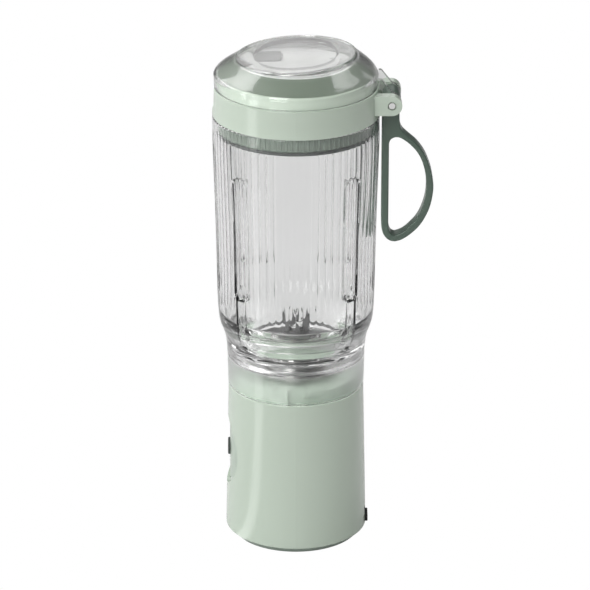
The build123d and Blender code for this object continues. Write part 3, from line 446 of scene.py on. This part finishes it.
@dataclass
class Palette:
    """Every finish of the object, made once and handed to the sub-assemblies."""

    sage: Plastic = Plastic(
        "sage_gloss", SAGE, (0.16, 0.24), coat=0.5, grain=Grain.POLISHED, bump=0.04, drift=0.02
    )
    sage_panel: Plastic = Plastic("sage_panel", (0.42, 0.50, 0.42), (0.22, 0.32), coat=0.2, bump=0.05)
    # Painted shade: the sage darkened for the cone slope under the cap.
    sage_painted_shade: Plastic = Plastic("sage_painted_shade", SAGE_PAINTED_SHADE, (0.36, 0.46), grain=Grain.POLISHED, bump=0.05)
    foot: Plastic = Plastic("foot_shade", (0.27, 0.33, 0.28), (0.3, 0.45), wear=0.1)
    forest: Plastic = Plastic("forest_satin", FOREST, (0.30, 0.42), coat=0.1, bump=0.10, wear=0.12)
    plug: Plastic = Plastic("plug_green", (0.18, 0.225, 0.185), (0.25, 0.38), coat=0.2, wear=0.15)
    pale: Plastic = Plastic("pale_satin", (0.72, 0.73, 0.72), (0.25, 0.4))
    stopper: Plastic = Plastic("grey_silicone", (0.12, 0.125, 0.12), (0.45, 0.6), grain=Grain.SOFT)
    silicone: Plastic = Plastic(
        "dark_silicone", (0.05, 0.06, 0.055), (0.45, 0.6), grain=Grain.SOFT, wear=0.05
    )
    rubber: Plastic = Plastic("black_rubber", (0.012, 0.013, 0.012), (0.5, 0.7), grain=Grain.SOFT, wear=0.1)
    black: Plastic = Plastic("black_moulding", (0.02, 0.02, 0.02), (0.4, 0.55))
    cast: Metal = Metal("cast_housing", (0.50, 0.50, 0.49), (0.16, 0.28), anisotropy=0.2)
    light: Plastic = Plastic("light_guide", (0.9, 0.92, 0.9), (0.3, 0.4), wear=0.0)
    sleeve: Plastic = Plastic("cell_sleeve", (0.03, 0.12, 0.30), (0.25, 0.35), wear=0.1)
    ferrite: Plastic = Plastic("ferrite", (0.05, 0.05, 0.055), (0.6, 0.8), bump=0.3)
    clear: Clear = Clear("clear_vessel", tint=(0.96, 0.963, 0.96), bump=0.004)
    frosted: Clear = Clear("frosted_collar", tint=(0.90, 0.905, 0.90), roughness=(0.36, 0.42))
    # Painted shade: a near-black clear tint that darkens the collar's seam face and shoulder step, where
    # shade falls between parts.
    edge: Clear = Clear("painted_seam_shade", tint=(0.10, 0.105, 0.10), roughness=(0.2, 0.3))
    smoke: Clear = Clear("clear_cap", tint=(0.95, 0.955, 0.95), roughness=(0.08, 0.13), bump=0.004)
    milky: Clear = Clear("milky_disc", tint=(0.66, 0.66, 0.65), roughness=(0.01, 0.04), transmission=0.86)
    steel: Metal = Metal("ground_steel")
    flange: Metal = Metal("satin_flange", (0.80, 0.80, 0.79), (0.42, 0.55))
    dark_steel: Metal = Metal("dark_steel", (0.22, 0.22, 0.22), (0.22, 0.38))
    polished: Metal = Metal("polished_steel", (0.86, 0.86, 0.85), (0.08, 0.16), bump=0.04)
    bronze: Metal = Metal("sintered_bronze", (0.45, 0.29, 0.12), (0.35, 0.5))
    copper: Metal = Metal("winding", (0.55, 0.22, 0.10), (0.3, 0.45), bump=0.3)
    board: Board = Board("solder_mask")
    made: dict[str, bpy.types.Material] = field(default_factory=dict)

    def use(self, label: str) -> bpy.types.Material:
        """The material of a finish, by the finish's field name, made on first use."""
        if label not in self.made:
            self.made[label] = getattr(self, label).make()
        return self.made[label]

    def dress(self, finishes: dict[str, str]) -> None:
        """Give CAD nodes their finishes.

        Args:
            finishes: the finish's field name for each node's name.
        """
        for node, label in finishes.items():
            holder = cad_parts[node]
            if not holder.material_slots:
                holder.data.materials.append(self.use(label))
            for slot in holder.material_slots:
                slot.material = self.use(label)


# ---------------------------------------------------------------- mesh helpers
def smooth_loop(points: Sequence[Point], step: float) -> list[Point]:
    """Divide an outline's runs so that none is longer than a step.

    Args:
        points: (radius, height) points, in millimetres.
        step: the longest run, in millimetres.

    Returns:
        The divided points.
    """
    out: list[Point] = []
    for start, end in zip(points, points[1:]):
        parts = max(1, math.ceil(math.dist(start, end) / step))
        out += [
            (start[0] + (end[0] - start[0]) * i / parts, start[1] + (end[1] - start[1]) * i / parts)
            for i in range(parts)
        ]
    return [*out, points[-1]]


def spline_points(points: Sequence[Point], per_run: int = 8) -> list[Point]:
    """A Catmull-Rom curve through points.

    Args:
        points: the points it passes through.
        per_run: samples between two points.

    Returns:
        The curve's samples, from the first point to the last.
    """
    knots = np.array([points[0], *points, points[-1]], dtype=float)
    out = []
    for a, b, c, d in zip(knots, knots[1:], knots[2:], knots[3:]):
        for t in np.arange(per_run) / per_run:
            out.append(tuple(0.5 * (
                2 * b + (c - a) * t + (2 * a - 5 * b + 4 * c - d) * t * t + (3 * b - a - 3 * c + d) * t ** 3
            )))
    return [*out, tuple(points[-1])]


def finish_mesh(name: str, work: bmesh.types.BMesh, sharp: float = 35.0) -> bpy.types.Object:
    """Turn a bmesh into a smooth-shaded object.

    Args:
        name: the piece's name.
        work: the mesh, freed here.
        sharp: edges that turn more than this many degrees stay sharp.

    Returns:
        The new object, linked to the scene.
    """
    bmesh.ops.remove_doubles(work, verts=work.verts, dist=WELD)
    bmesh.ops.recalc_face_normals(work, faces=work.faces)
    mesh = bpy.data.meshes.new(name)
    work.to_mesh(mesh)
    work.free()
    mesh.shade_smooth()
    mesh.set_sharp_from_angle(angle=math.radians(sharp))
    piece = bpy.data.objects.new(name, mesh)
    bpy.context.scene.collection.objects.link(piece)
    return piece


def lathe(name: str, loop: Sequence[Point], columns: int, shape: Optional[Shape] = None,
          lean: Optional[Shape] = None, closed: bool = True, sharp: float = 35.0) -> bpy.types.Object:
    """Turn an outline about the body axis.

    Args:
        name: the piece's name.
        loop: (radius, height) outline in millimetres, counted round the solid's section.
        columns: steps round the axis.
        shape: adds to the radius, from arrays of angle, radius and height.
        lean: adds to the height, from the same arrays.
        closed: whether the outline closes on itself, as a ring's does.
        sharp: the angle above which edges stay sharp.

    Returns:
        The new object.
    """
    section = np.array(loop, dtype=float)
    turn = np.linspace(0.0, 2.0 * math.pi, columns, endpoint=False)
    angle, radius = np.meshgrid(turn, section[:, 0])
    height = np.repeat(section[:, 1][:, None], columns, axis=1)
    reach = radius + (shape(angle, radius, height) if shape else 0.0)
    rise = height + (lean(angle, radius, height) if lean else 0.0)
    work = bmesh.new()
    grid = [
        [work.verts.new(Vector((r * math.cos(a), r * math.sin(a), z)) * MM) for r, a, z in zip(*row)]
        for row in zip(reach, angle, rise)
    ]
    rows = len(grid)
    for i in range(rows if closed else rows - 1):
        low, high = grid[i], grid[(i + 1) % rows]
        for k in range(columns):
            n = (k + 1) % columns
            work.faces.new((low[k], low[n], high[n], high[k]))
    return finish_mesh(name, work, sharp)


def slab(name: str, outlines: Sequence[Sequence[Point]], middle: float, width: float, bevel: float,
         steps: int = 3) -> bpy.types.Object:
    """A flat piece in the upright plane of the hinge, with rounded edges.

    Args:
        name: the piece's name.
        outlines: closed (Y, Z) outlines in millimetres, the first outside, any others holes.
        middle: X of the piece's middle, in millimetres.
        width: its full width along X, in millimetres.
        bevel: the radius of its edges, in millimetres.
        steps: segments across each rounded edge.

    Returns:
        The new object.
    """
    curve = bpy.data.curves.new(name, "CURVE")
    curve.dimensions = "2D"
    curve.fill_mode = "BOTH"
    curve.extrude = (width / 2 - bevel) * MM
    curve.bevel_depth = bevel * MM
    curve.bevel_resolution = steps
    curve.offset = -bevel * MM
    for outline in outlines:
        spline = curve.splines.new("POLY")
        spline.points.add(len(outline) - 1)
        for knot, (y, z) in zip(spline.points, outline):
            knot.co = (y * MM, z * MM, 0.0, 1.0)
        spline.use_cyclic_u = True
    holder = bpy.data.objects.new(name + "_curve", curve)
    bpy.context.scene.collection.objects.link(holder)
    bpy.context.view_layer.update()
    mesh = bpy.data.meshes.new_from_object(holder)
    bpy.data.objects.remove(holder)
    mesh.transform(Matrix(((0, 0, 1, middle * MM), (1, 0, 0, 0), (0, 1, 0, 0), (0, 0, 0, 1))))
    work = bmesh.new()
    work.from_mesh(mesh)
    bpy.data.meshes.remove(mesh)
    return finish_mesh(name, work)


def circle_points(y: float, z: float, radius: float, count: int = 48) -> list[Point]:
    """Points round a circle in the hinge's plane, all in millimetres."""
    turns = [2 * math.pi * i / count for i in range(count)]
    return [(y + radius * math.cos(turn), z + radius * math.sin(turn)) for turn in turns]


def join(name: str, pieces: Iterable[bpy.types.Object]) -> bpy.types.Object:
    """Join several objects' meshes into one piece.

    Args:
        name: the joined piece's name.
        pieces: the objects, which are used up.

    Returns:
        The joined object.
    """
    pieces = list(pieces)
    work = bmesh.new()
    for piece in pieces:
        work.from_mesh(piece.data)
        bpy.data.objects.remove(piece)
    return finish_mesh(name, work)


def settle(piece: bpy.types.Object, body: str, material: bpy.types.Material, slot: str,
           *nodes: str) -> None:
    """Put a new piece on its body, with its finish and the nodes that it stands for.

    A piece that lets light through casts no shadow, so that what is inside it stays lit.

    Args:
        piece: the new object.
        body: the CAD body that it rides on.
        material: its finish.
        slot: the record's material slot; not used.
        nodes: the CAD nodes that it replaces.
    """
    piece.data.materials.clear()
    piece.data.materials.append(material)
    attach(piece, body)
    if nodes:
        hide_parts(*nodes)
    if any(socket.name == "Transmission Weight" and socket.default_value > 0.0
           for node in material.node_tree.nodes for socket in node.inputs):
        piece.visible_shadow = False
    LOG.info("built %s on %s", piece.name, body)


# ---------------------------------------------------------------- sub-assemblies
@dataclass
class PowerBase:
    """The sage housing, its controls and everything inside it."""

    finishes: dict[str, str] = field(default_factory=lambda: {
        "base_shell": "sage", "top_deck": "sage_panel", "control_panel": "sage_panel",
        "power_button": "silicone", "status_light": "light", "bottom_cover": "foot",
        "foot_pad": "silicone", "port_cover": "rubber", "charge_port": "steel", "charge_board": "board",
        "circuit_board": "board", "tact_switch": "black", "battery_tray": "black",
        "battery_cells": "sleeve", "housing_screws": "steel", "motor_can": "steel",
        "motor_magnets": "ferrite", "motor_end_cap": "black", "motor_bushes": "bronze",
        "motor_mount": "black", "motor_screws": "steel", "deck_screws": "steel", "shaft_seal": "rubber",
        "motor_armature": "copper", "motor_shaft": "steel", "drive_coupling": "black",
    })

    def build(self, palette: Palette) -> None:
        """Dress the base's nodes."""
        palette.dress(self.finishes)
        LOG.info("dressed %d nodes of the power base", len(self.finishes))


@dataclass
class BladeUnit:
    """The blades, their shaft and the grey unit under the vessel's floor."""

    finishes: dict[str, str] = field(default_factory=lambda: {
        "blade_housing": "cast", "blade_bearings": "bronze", "housing_gasket": "stopper",
        "clamp_nut": "flange", "blade_seal": "rubber", "driven_coupling": "black", "blade_shaft": "steel",
        "lower_blade": "dark_steel", "upper_blade": "dark_steel", "blade_nut": "polished",
    })

    def build(self, palette: Palette) -> None:
        """Dress the blade unit's nodes."""
        palette.dress(self.finishes)
        LOG.info("dressed %d nodes of the blade unit", len(self.finishes))


@dataclass
class Vessel:
    """The clear fluted cup and its collar, as one moulding."""

    flutes: int = 72
    flute_depth: float = 0.42
    flute_low: float = 134.0
    flute_run_in: float = 14.0
    flute_high: float = 229.0
    flute_run_out: float = 3.0
    outer_skin: float = 1.3
    grooves: int = 4
    groove_width: float = 8.5
    groove_depth: float = 3.2
    groove_side: float = 0.9
    groove_low: float = 143.0
    groove_high: float = 212.0
    tail_width: float = 5.6
    tail_depth: float = 0.8
    tail_side: float = 0.8
    tail_low: Span = (114.0, 126.0)
    tail_run_out: float = 6.0
    wall_reach: float = 30.0
    wall_foot: float = 112.0
    seam_top: float = 86.9
    step_reach: Span = (26.0, 34.1)
    step_height: Span = (101.5, 106.6)
    skirt_reach: float = 35.2
    skirt_height: Span = (87.0, 104.0)
    outline_step: float = 1.6
    columns: int = 1080
    sharp: float = 50.0
    outside: Sequence[Point] = (
        (36.1, 86.7), (36.5, 104.5), (36.8, 109.0), (37.4, 113.6), (38.4, 117.4), (39.6, 120.4),
        (40.5, 123.6), (41.0, 128.0), (41.5, 139.0), (42.3, 180.0), (43.1, 207.0), (43.5, 222.0),
        (43.5, 236.9),
    )
    rim: Sequence[Point] = ((43.3, 237.3), (42.9, 237.5), (41.4, 237.5), (41.0, 237.3))
    inside: Sequence[Point] = (
        (40.8, 236.9), (40.8, 224.0), (40.3, 207.0), (39.5, 180.0), (38.8, 145.0), (38.3, 131.0),
        (37.6, 127.4), (35.4, 123.0), (31.0, 118.0), (26.0, 113.2), (24.2, 111.2), (22.5, 110.0),
    )
    underside: Sequence[Point] = (
        (8.7, 110.0), (8.7, 106.5), (26.6, 106.5), (27.0, 106.1), (27.0, 104.0), (27.4, 103.6),
        (32.6, 103.6), (34.0, 102.4), (34.3, 101.0), (33.9, 87.3), (34.3, 86.6), (35.8, 86.6),
    )

    def relief(self, angle: np.ndarray, radius: np.ndarray, height: np.ndarray) -> np.ndarray:
        """How far the wall moves in or out at each point, for flutes and grooves.

        Args:
            angle: angles round the axis.
            radius: plain radii there, in millimetres.
            height: heights there, in millimetres.

        Returns:
            The change of radius, in millimetres.
        """
        low = np.interp(height, [self.flute_low, self.flute_low + self.flute_run_in], [0.0, 1.0])
        high = np.interp(height, [self.flute_high, self.flute_high + self.flute_run_out], [1.0, 0.0])
        mean = np.interp(height, [p[1] for p in self.outside], [p[0] for p in self.outside])
        outer = (radius > mean - self.outer_skin).astype(float)
        ridge = np.abs(np.sin(angle * self.flutes / 2.0)) - 1.0
        pitch = 2.0 * math.pi / self.grooves
        across = (angle % pitch - pitch / 2) * radius
        half = self.groove_width / 2
        along = np.clip(height, self.groove_low + half, self.groove_high - half) - height
        reach = np.hypot(across, along)
        groove = 1.0 - np.clip((reach - half + self.groove_side) / self.groove_side, 0.0, 1.0)
        groove = groove * groove * (3.0 - 2.0 * groove)
        past = np.abs(across) - self.tail_width / 2
        tail = 1.0 - np.clip((past + self.tail_side) / self.tail_side, 0.0, 1.0)
        ends = [*self.tail_low, self.groove_low, self.groove_low + self.tail_run_out]
        fade = np.interp(height, ends, [0.0, 1.0, 1.0, 0.0])
        wall = (radius > self.wall_reach) * (height > self.wall_foot)
        plain = np.clip(groove + tail * fade, 0.0, 1.0)
        flute = self.flute_depth * ridge * low * high * outer * (1.0 - plain)
        return wall * (flute - self.groove_depth * groove - self.tail_depth * tail * fade)

    def finish_of(self, place: Vector) -> int:
        """Which finish a face has: 0 clear, 1 the frosted skirt's inside, 2 a dark tint of painted shade on
        the collar's seam face and shoulder step.
        """
        reach, height = place.xy.length / MM, place.z / MM
        on_step = self.step_reach[0] < reach < self.step_reach[1]
        if height < self.seam_top or (on_step and self.step_height[0] < height < self.step_height[1]):
            return 2
        if reach < self.skirt_reach and self.skirt_height[0] < height < self.skirt_height[1]:
            return 1
        return 0

    def build(self, palette: Palette) -> None:
        """Build the fluted moulding, which stands for the plain cup and collar."""
        loop = [
            *smooth_loop(spline_points(self.outside, 6), self.outline_step), *self.rim,
            *smooth_loop(spline_points(self.inside, 6), self.outline_step), *self.underside,
        ]
        piece = lathe("fluted_vessel", loop, self.columns, self.relief, sharp=self.sharp)
        settle(piece, "jar", palette.use("clear"), "vessel", "vessel", "vessel_collar")
        # Slot 2 is painted shade: the dark tint on the seam face and shoulder step.
        for label in ("frosted", "edge"):
            piece.data.materials.append(palette.use(label))
        for face in piece.data.polygons:
            face.material_index = self.finish_of(face.center)


@dataclass
class Lid:
    """The screw lid: ring with ears, threaded plug, cone, deck and pin."""

    wall: Sequence[Point] = (
        (36.6, 241.6), (39.8, 241.6), (39.8, 258.0), (39.4, 258.4), (38.0, 258.4), (37.8, 243.4),
        (36.6, 243.4),
    )
    slope: Sequence[Point] = (
        (39.2, 258.5), (38.6, 259.2), (36.6, 260.7), (34.4, 262.2), (31.8, 263.8), (29.9, 264.8),
        (28.6, 264.8), (28.6, 262.6), (33.6, 259.8), (37.4, 257.8),
    )
    thread: Sequence[Point] = (
        (37.2, 229.8), (39.5, 229.8), (40.0, 230.3), (40.2, 230.7), (40.4, 230.9), (40.4, 231.6),
        (40.4, 233.0), (40.4, 234.6), (40.4, 236.2), (40.4, 236.7), (40.4, 236.9), (40.4, 237.6),
        (37.2, 237.6),
    )
    ribs: int = 90
    steps_per_rib: int = 8
    rib_depth: float = 0.35
    rib_reach: float = 39.0
    rib_heights: Span = (230.8, 236.8)
    rib_crest: float = 0.2
    finishes: dict[str, str] = field(default_factory=lambda: {
        "lid_ring": "sage", "lid_gasket": "silicone", "spout_deck": "pale", "hinge_pin": "polished",
    })

    def ribbing(self, angle: np.ndarray, radius: np.ndarray, height: np.ndarray) -> np.ndarray:
        """Upright ribs round the plug's outer face."""
        band = (radius > self.rib_reach) * (height > self.rib_heights[0]) * (height < self.rib_heights[1])
        return band * np.where(np.sin(angle * self.ribs) > self.rib_crest, 0.0, -self.rib_depth)

    def plug(self, palette: Palette) -> None:
        """Build the dark plug that screws into the rim."""
        piece = lathe("ribbed_plug", self.thread, self.ribs * self.steps_per_rib, self.ribbing)
        settle(piece, "lid", palette.use("plug"), "lid_plug", "lid_plug")

    def cone(self, palette: Palette) -> None:
        """Build the cone under the cap: a pale upright wall, and a slope in a darker copy of the sage as
        painted shade from the cap above it.
        """
        wall = lathe("cone_wall", self.wall, ROUND_COLUMNS)
        settle(wall, "lid", palette.use("sage"), "lid_cone", "lid_cone")
        # The slope takes the darker copy of the sage as painted shade from the cap over it.
        slope = lathe("cone_slope", self.slope, ROUND_COLUMNS)
        settle(slope, "lid", palette.use("sage_painted_shade"), "lid_cone")

    def build(self, palette: Palette) -> None:
        """Build the plug and the cone and dress the lid's nodes."""
        palette.dress(self.finishes)
        self.plug(palette)
        self.cone(palette)


@dataclass
class FlipCap:
    """The clear cap with its leaning disc, arms and silicone stopper."""

    tilt: float = 2.8
    flank_low: float = 259.6
    disc_height: float = 269.5
    lug: float = 5.0
    lug_turn: Span = (82.0, -180.0)
    lug_steps: int = 26
    arm_middle: float = 8.15
    arm_width: float = 2.7
    arm_edge: float = 0.3
    arm_root: Sequence[Point] = ((-4.9, 6.2), (-5.4, 6.9), (-6.6, 7.2), (-6.6, 12.4), (-5.2, 12.4))
    shell_sharp: float = 60.0
    disc_sharp: float = 40.0
    outside: Sequence[Point] = (
        (42.3, 252.8), (42.5, 253.0), (42.55, 256.0), (42.55, 257.9), (42.7, 258.3), (42.75, 258.8),
        (42.5, 259.4), (41.9, 260.4), (41.0, 261.5), (39.3, 263.0), (36.8, 264.9), (34.5, 266.5),
        (32.6, 268.0), (31.4, 269.1), (31.0, 269.35), (30.75, 269.3), (30.7, 268.0), (28.4, 268.0),
    )
    inside: Sequence[Point] = (
        (28.4, 266.9), (29.9, 266.7), (31.4, 265.6), (33.2, 264.3), (35.6, 262.7), (38.2, 260.9),
        (40.2, 259.3), (40.4, 258.3), (40.5, 253.0), (40.7, 252.8),
    )
    disc: Sequence[Point] = (
        (0.0, 268.05), (30.6, 268.05), (30.6, 269.2), (30.4, 269.4), (22.4, 269.4), (21.8, 269.2),
        (21.2, 268.8), (20.6, 268.7), (0.0, 268.7),
    )

    def lean(self, angle: np.ndarray, radius: np.ndarray, height: np.ndarray) -> np.ndarray:
        """The extra height that tilts the disc up towards the hinge."""
        share = np.clip((height - self.flank_low) / (self.disc_height - self.flank_low), 0.0, 1.0)
        return share * math.tan(math.radians(self.tilt)) * radius * np.sin(angle)

    def arm(self, side: int) -> bpy.types.Object:
        """One arm from the rim down round the pin.

        Args:
            side: -1 or 1, which side of the middle it stands on.

        Returns:
            The arm.
        """
        y, z = PIN
        turn = np.radians(np.linspace(*self.lug_turn, self.lug_steps))
        knuckle = [(y + self.lug * math.cos(a), z + self.lug * math.sin(a)) for a in turn]
        root = [(y + along, z + rise) for along, rise in self.arm_root]
        outlines = [[*knuckle, *root], circle_points(y, z, PIN_HOLE)]
        name = f"cap_arm_{'left' if side < 0 else 'right'}"
        return slab(name, outlines, side * self.arm_middle, self.arm_width, self.arm_edge)

    def build(self, palette: Palette) -> None:
        """Build the shell and its arms as one clear piece and dress the stopper."""
        section = [*self.outside, *self.inside]
        shell = lathe("cap_shell", section, ROUND_COLUMNS, lean=self.lean, sharp=self.shell_sharp)
        piece = join("clear_cap", [shell, self.arm(-1), self.arm(1)])
        settle(piece, "cap", palette.use("smoke"), "flip_cap", "flip_cap")
        disc = lathe("cap_disc", self.disc, ROUND_COLUMNS, lean=self.lean, sharp=self.disc_sharp)
        settle(disc, "cap", palette.use("milky"), "flip_cap")
        palette.dress({"spout_stopper": "stopper"})


@dataclass
class CarryLoop:
    """The dark carry loop that hangs from the hinge pin."""

    width: float = 8.3
    knuckle_width: float = 13.0
    knuckle: float = 4.9
    knuckle_edge: float = 0.4
    edge: float = 0.7
    neck: Sequence[Point] = ((52.5, 243.0), (45.8, 243.0))
    heel: Sequence[Point] = (
        (44.6, 241.0), (44.6, 220.0), (44.6, 200.0), (44.6, 184.0), (44.65, 178.0), (44.9, 174.4),
        (45.8, 171.2), (47.4, 168.8), (49.6, 167.3), (52.0, 166.9),
    )
    belly: Sequence[Point] = (
        (52.0, 166.9), (55.6, 168.0), (60.0, 171.0), (64.5, 175.5), (68.0, 181.2), (70.5, 187.9),
        (71.8, 196.6), (71.1, 203.4), (69.6, 209.3), (66.8, 216.0), (62.7, 221.6), (57.8, 226.0),
        (55.0, 229.0), (53.9, 232.5), (53.7, 237.0), (53.7, 241.0),
    )
    toe: Sequence[Point] = (
        (48.4, 221.0), (48.4, 205.0), (48.4, 190.0), (48.4, 179.0), (48.5, 175.6), (49.0, 173.0),
        (50.1, 171.2), (51.8, 170.5),
    )
    hollow: Sequence[Point] = (
        (51.8, 170.5), (55.9, 172.2), (59.9, 175.8), (63.5, 180.3), (66.3, 186.8), (67.9, 194.5),
        (67.7, 203.4), (65.8, 211.4), (62.9, 217.0), (58.9, 221.4), (55.4, 224.0), (53.4, 224.9),
        (51.4, 224.9), (49.6, 224.0), (48.7, 222.6), (48.4, 221.0),
    )

    def outline(self) -> list[Point]:
        """The loop's outer outline, down the bar and round the belly to the neck."""
        return [*spline_points(self.heel, 5)[:-1], *spline_points(self.belly, 6), *self.neck]

    def opening(self) -> list[Point]:
        """The finger opening's outline."""
        return [*spline_points(self.toe, 5)[:-1], *spline_points(self.hollow, 6)[:-1]]

    def build(self, palette: Palette) -> None:
        """Build the strap and its knuckle as one piece."""
        strap = slab("loop_strap", [self.outline(), self.opening()], 0.0, self.width, self.edge)
        rings = [circle_points(*PIN, self.knuckle), circle_points(*PIN, PIN_HOLE)]
        knuckle = slab("loop_knuckle", rings, 0.0, self.knuckle_width, self.knuckle_edge)
        piece = join("carry_strap", [strap, knuckle])
        settle(piece, "loop", palette.use("forest"), "carry_loop", "carry_loop")


# ---------------------------------------------------------------- studio
@dataclass(frozen=True)
class Softbox:
    """A soft rectangular light."""

    name: str
    place: tuple[float, float, float]
    size: tuple[float, float]
    power: float
    shade: Colour = (1.0, 1.0, 1.0)

    def build(self, aim: Vector) -> None:
        """Hang the light, facing a point."""
        lamp = bpy.data.lights.new(self.name, "AREA")
        lamp.shape = "RECTANGLE"
        lamp.size, lamp.size_y = self.size
        lamp.energy = self.power
        lamp.color = self.shade
        holder = bpy.data.objects.new(self.name, lamp)
        holder.location = self.place
        holder.rotation_euler = (aim - Vector(self.place)).to_track_quat("-Z", "Y").to_euler()
        bpy.context.scene.collection.objects.link(holder)


@dataclass
class Studio:
    """Camera, pale floor and soft light."""

    distance: float = 1.8257
    height: float = 0.8836
    aim_height: float = 0.1350
    aside: float = -0.0005
    lens: float = 227.4
    sensor: float = 36.0
    far: float = 100.0
    floor_reach: float = 30.0
    floor_tone: float = 0.8
    floor_roughness: float = 0.9
    # Where the floor's bright wedge starts, is full, starts to fade and ends, as shares of a turn.
    card: tuple[float, float, float, float] = (0.305, 0.317, 0.345, 0.357)
    card_strength: float = 1.6
    sky: Span = (0.10, 0.40)
    sky_top: float = 0.8
    sides: Span = (1.25, 0.25)
    side_reach: float = 0.9
    lights: Sequence[Softbox] = (
        Softbox("key", (1.7, -0.8, 1.15), (0.9, 1.6), 23.0),
        Softbox("left_box", (-0.75, -1.35, 1.45), (1.3, 1.3), 18.0),
        Softbox("right_box", (-0.4, 1.2, 1.6), (0.8, 0.9), 6.5),
        Softbox("side_strip", (0.35, -1.6, 0.5), (0.25, 1.2), 3.0),
        Softbox("back_box", (-1.8, 0.0, 0.87), (0.9, 0.6), 1.1),
        Softbox("rim_strip", (-1.2, 1.3, 0.5), (0.25, 1.2), 1.5),
    )

    def camera(self) -> None:
        """Place the camera square to the object's side, looking down at it."""
        data = bpy.data.cameras.new("camera")
        data.lens = self.lens
        data.sensor_width = self.sensor
        data.clip_end = self.far
        holder = bpy.data.objects.new("camera", data)
        holder.location = (self.distance, self.aside, self.height)
        aim = Vector((-self.distance, 0.0, self.aim_height - self.height))
        holder.rotation_euler = aim.to_track_quat("-Z", "Y").to_euler()
        bpy.context.scene.collection.objects.link(holder)
        bpy.context.scene.camera = holder

    def floor(self) -> None:
        """Lay the pale floor: plain white when seen directly, with a soft bright wedge in reflections."""
        work = bmesh.new()
        bmesh.ops.create_grid(work, x_segments=4, y_segments=4, size=self.floor_reach)
        mesh = bpy.data.meshes.new("floor")
        work.to_mesh(mesh)
        work.free()
        holder = bpy.data.objects.new("floor", mesh)
        bpy.context.scene.collection.objects.link(holder)
        material, bsdf = new_material("pale_floor")
        bsdf.inputs["Base Color"].default_value = (self.floor_tone,) * 3 + (1.0,)
        bsdf.inputs["Roughness"].default_value = self.floor_roughness
        nodes, links = material.node_tree.nodes, material.node_tree.links
        paper = nodes.new("ShaderNodeEmission")
        place = nodes.new("ShaderNodeTexCoord")
        round_axis = nodes.new("ShaderNodeTexGradient")
        round_axis.gradient_type = "RADIAL"
        band = nodes.new("ShaderNodeValToRGB")
        stops = band.color_ramp.elements
        for stop, share in zip(stops, (self.card[0], self.card[3])):
            stop.position = share
            stop.color = (0.0, 0.0, 0.0, 1.0)
        for share in self.card[1:3]:
            stops.new(share).color = (1.0, 1.0, 1.0, 1.0)
        links.new(place.outputs["Object"], round_axis.inputs["Vector"])
        links.new(round_axis.outputs["Fac"], band.inputs["Fac"])
        links.new(band.outputs["Color"], bsdf.inputs["Emission Color"])
        glow = nodes.new("ShaderNodeMath")
        glow.operation = "MULTIPLY"
        glow.inputs[1].default_value = self.card_strength
        path = nodes.new("ShaderNodeLightPath")
        choose = nodes.new("ShaderNodeMixShader")
        links.new(path.outputs["Is Glossy Ray"], glow.inputs[0])
        links.new(glow.outputs["Value"], bsdf.inputs["Emission Strength"])
        links.new(path.outputs["Is Camera Ray"], choose.inputs["Fac"])
        links.new(bsdf.outputs["BSDF"], choose.inputs[1])
        links.new(paper.outputs["Emission"], choose.inputs[2])
        links.new(choose.outputs["Shader"], nodes["Material Output"].inputs["Surface"])
        mesh.materials.append(material)

    def world(self) -> None:
        """Light the room, brighter above and on the panel's side, and keep its tones plain."""
        world = bpy.data.worlds.new("room")
        world.use_nodes = True
        nodes, links = world.node_tree.nodes, world.node_tree.links
        place = nodes.new("ShaderNodeTexCoord")
        parts = nodes.new("ShaderNodeSeparateXYZ")
        rise = nodes.new("ShaderNodeMapRange")
        rise.inputs["From Max"].default_value = self.sky_top
        rise.inputs["To Min"].default_value, rise.inputs["To Max"].default_value = self.sky
        side = nodes.new("ShaderNodeMapRange")
        side.inputs["From Min"].default_value = -self.side_reach
        side.inputs["From Max"].default_value = self.side_reach
        side.inputs["To Min"].default_value, side.inputs["To Max"].default_value = self.sides
        total = nodes.new("ShaderNodeMath")
        total.operation = "MULTIPLY"
        links.new(place.outputs["Generated"], parts.inputs["Vector"])
        links.new(parts.outputs["Z"], rise.inputs["Value"])
        links.new(parts.outputs["Y"], side.inputs["Value"])
        links.new(rise.outputs["Result"], total.inputs[0])
        links.new(side.outputs["Result"], total.inputs[1])
        links.new(total.outputs["Value"], nodes["Background"].inputs["Strength"])
        nodes["Background"].inputs["Color"].default_value = (1.0, 1.0, 1.0, 1.0)
        bpy.context.scene.world = world
        bpy.context.scene.view_settings.view_transform = "Standard"

    def build(self) -> None:
        """Build the whole studio."""
        self.camera()
        self.floor()
        self.world()
        middle = (Vector(CAD_BOX[0]) + Vector(CAD_BOX[1])) / 2
        for light in self.lights:
            light.build(middle)
        LOG.info("studio built with %d lights", len(self.lights))


def main() -> None:
    """Build the studio and every sub-assembly."""
    logging.basicConfig(level=logging.INFO, format="%(message)s")
    Studio().build()
    palette = Palette()
    for assembly in (PowerBase(), BladeUnit(), Vessel(), Lid(), FlipCap(), CarryLoop()):
        assembly.build(palette)


if __name__ == "__main__":
    main()
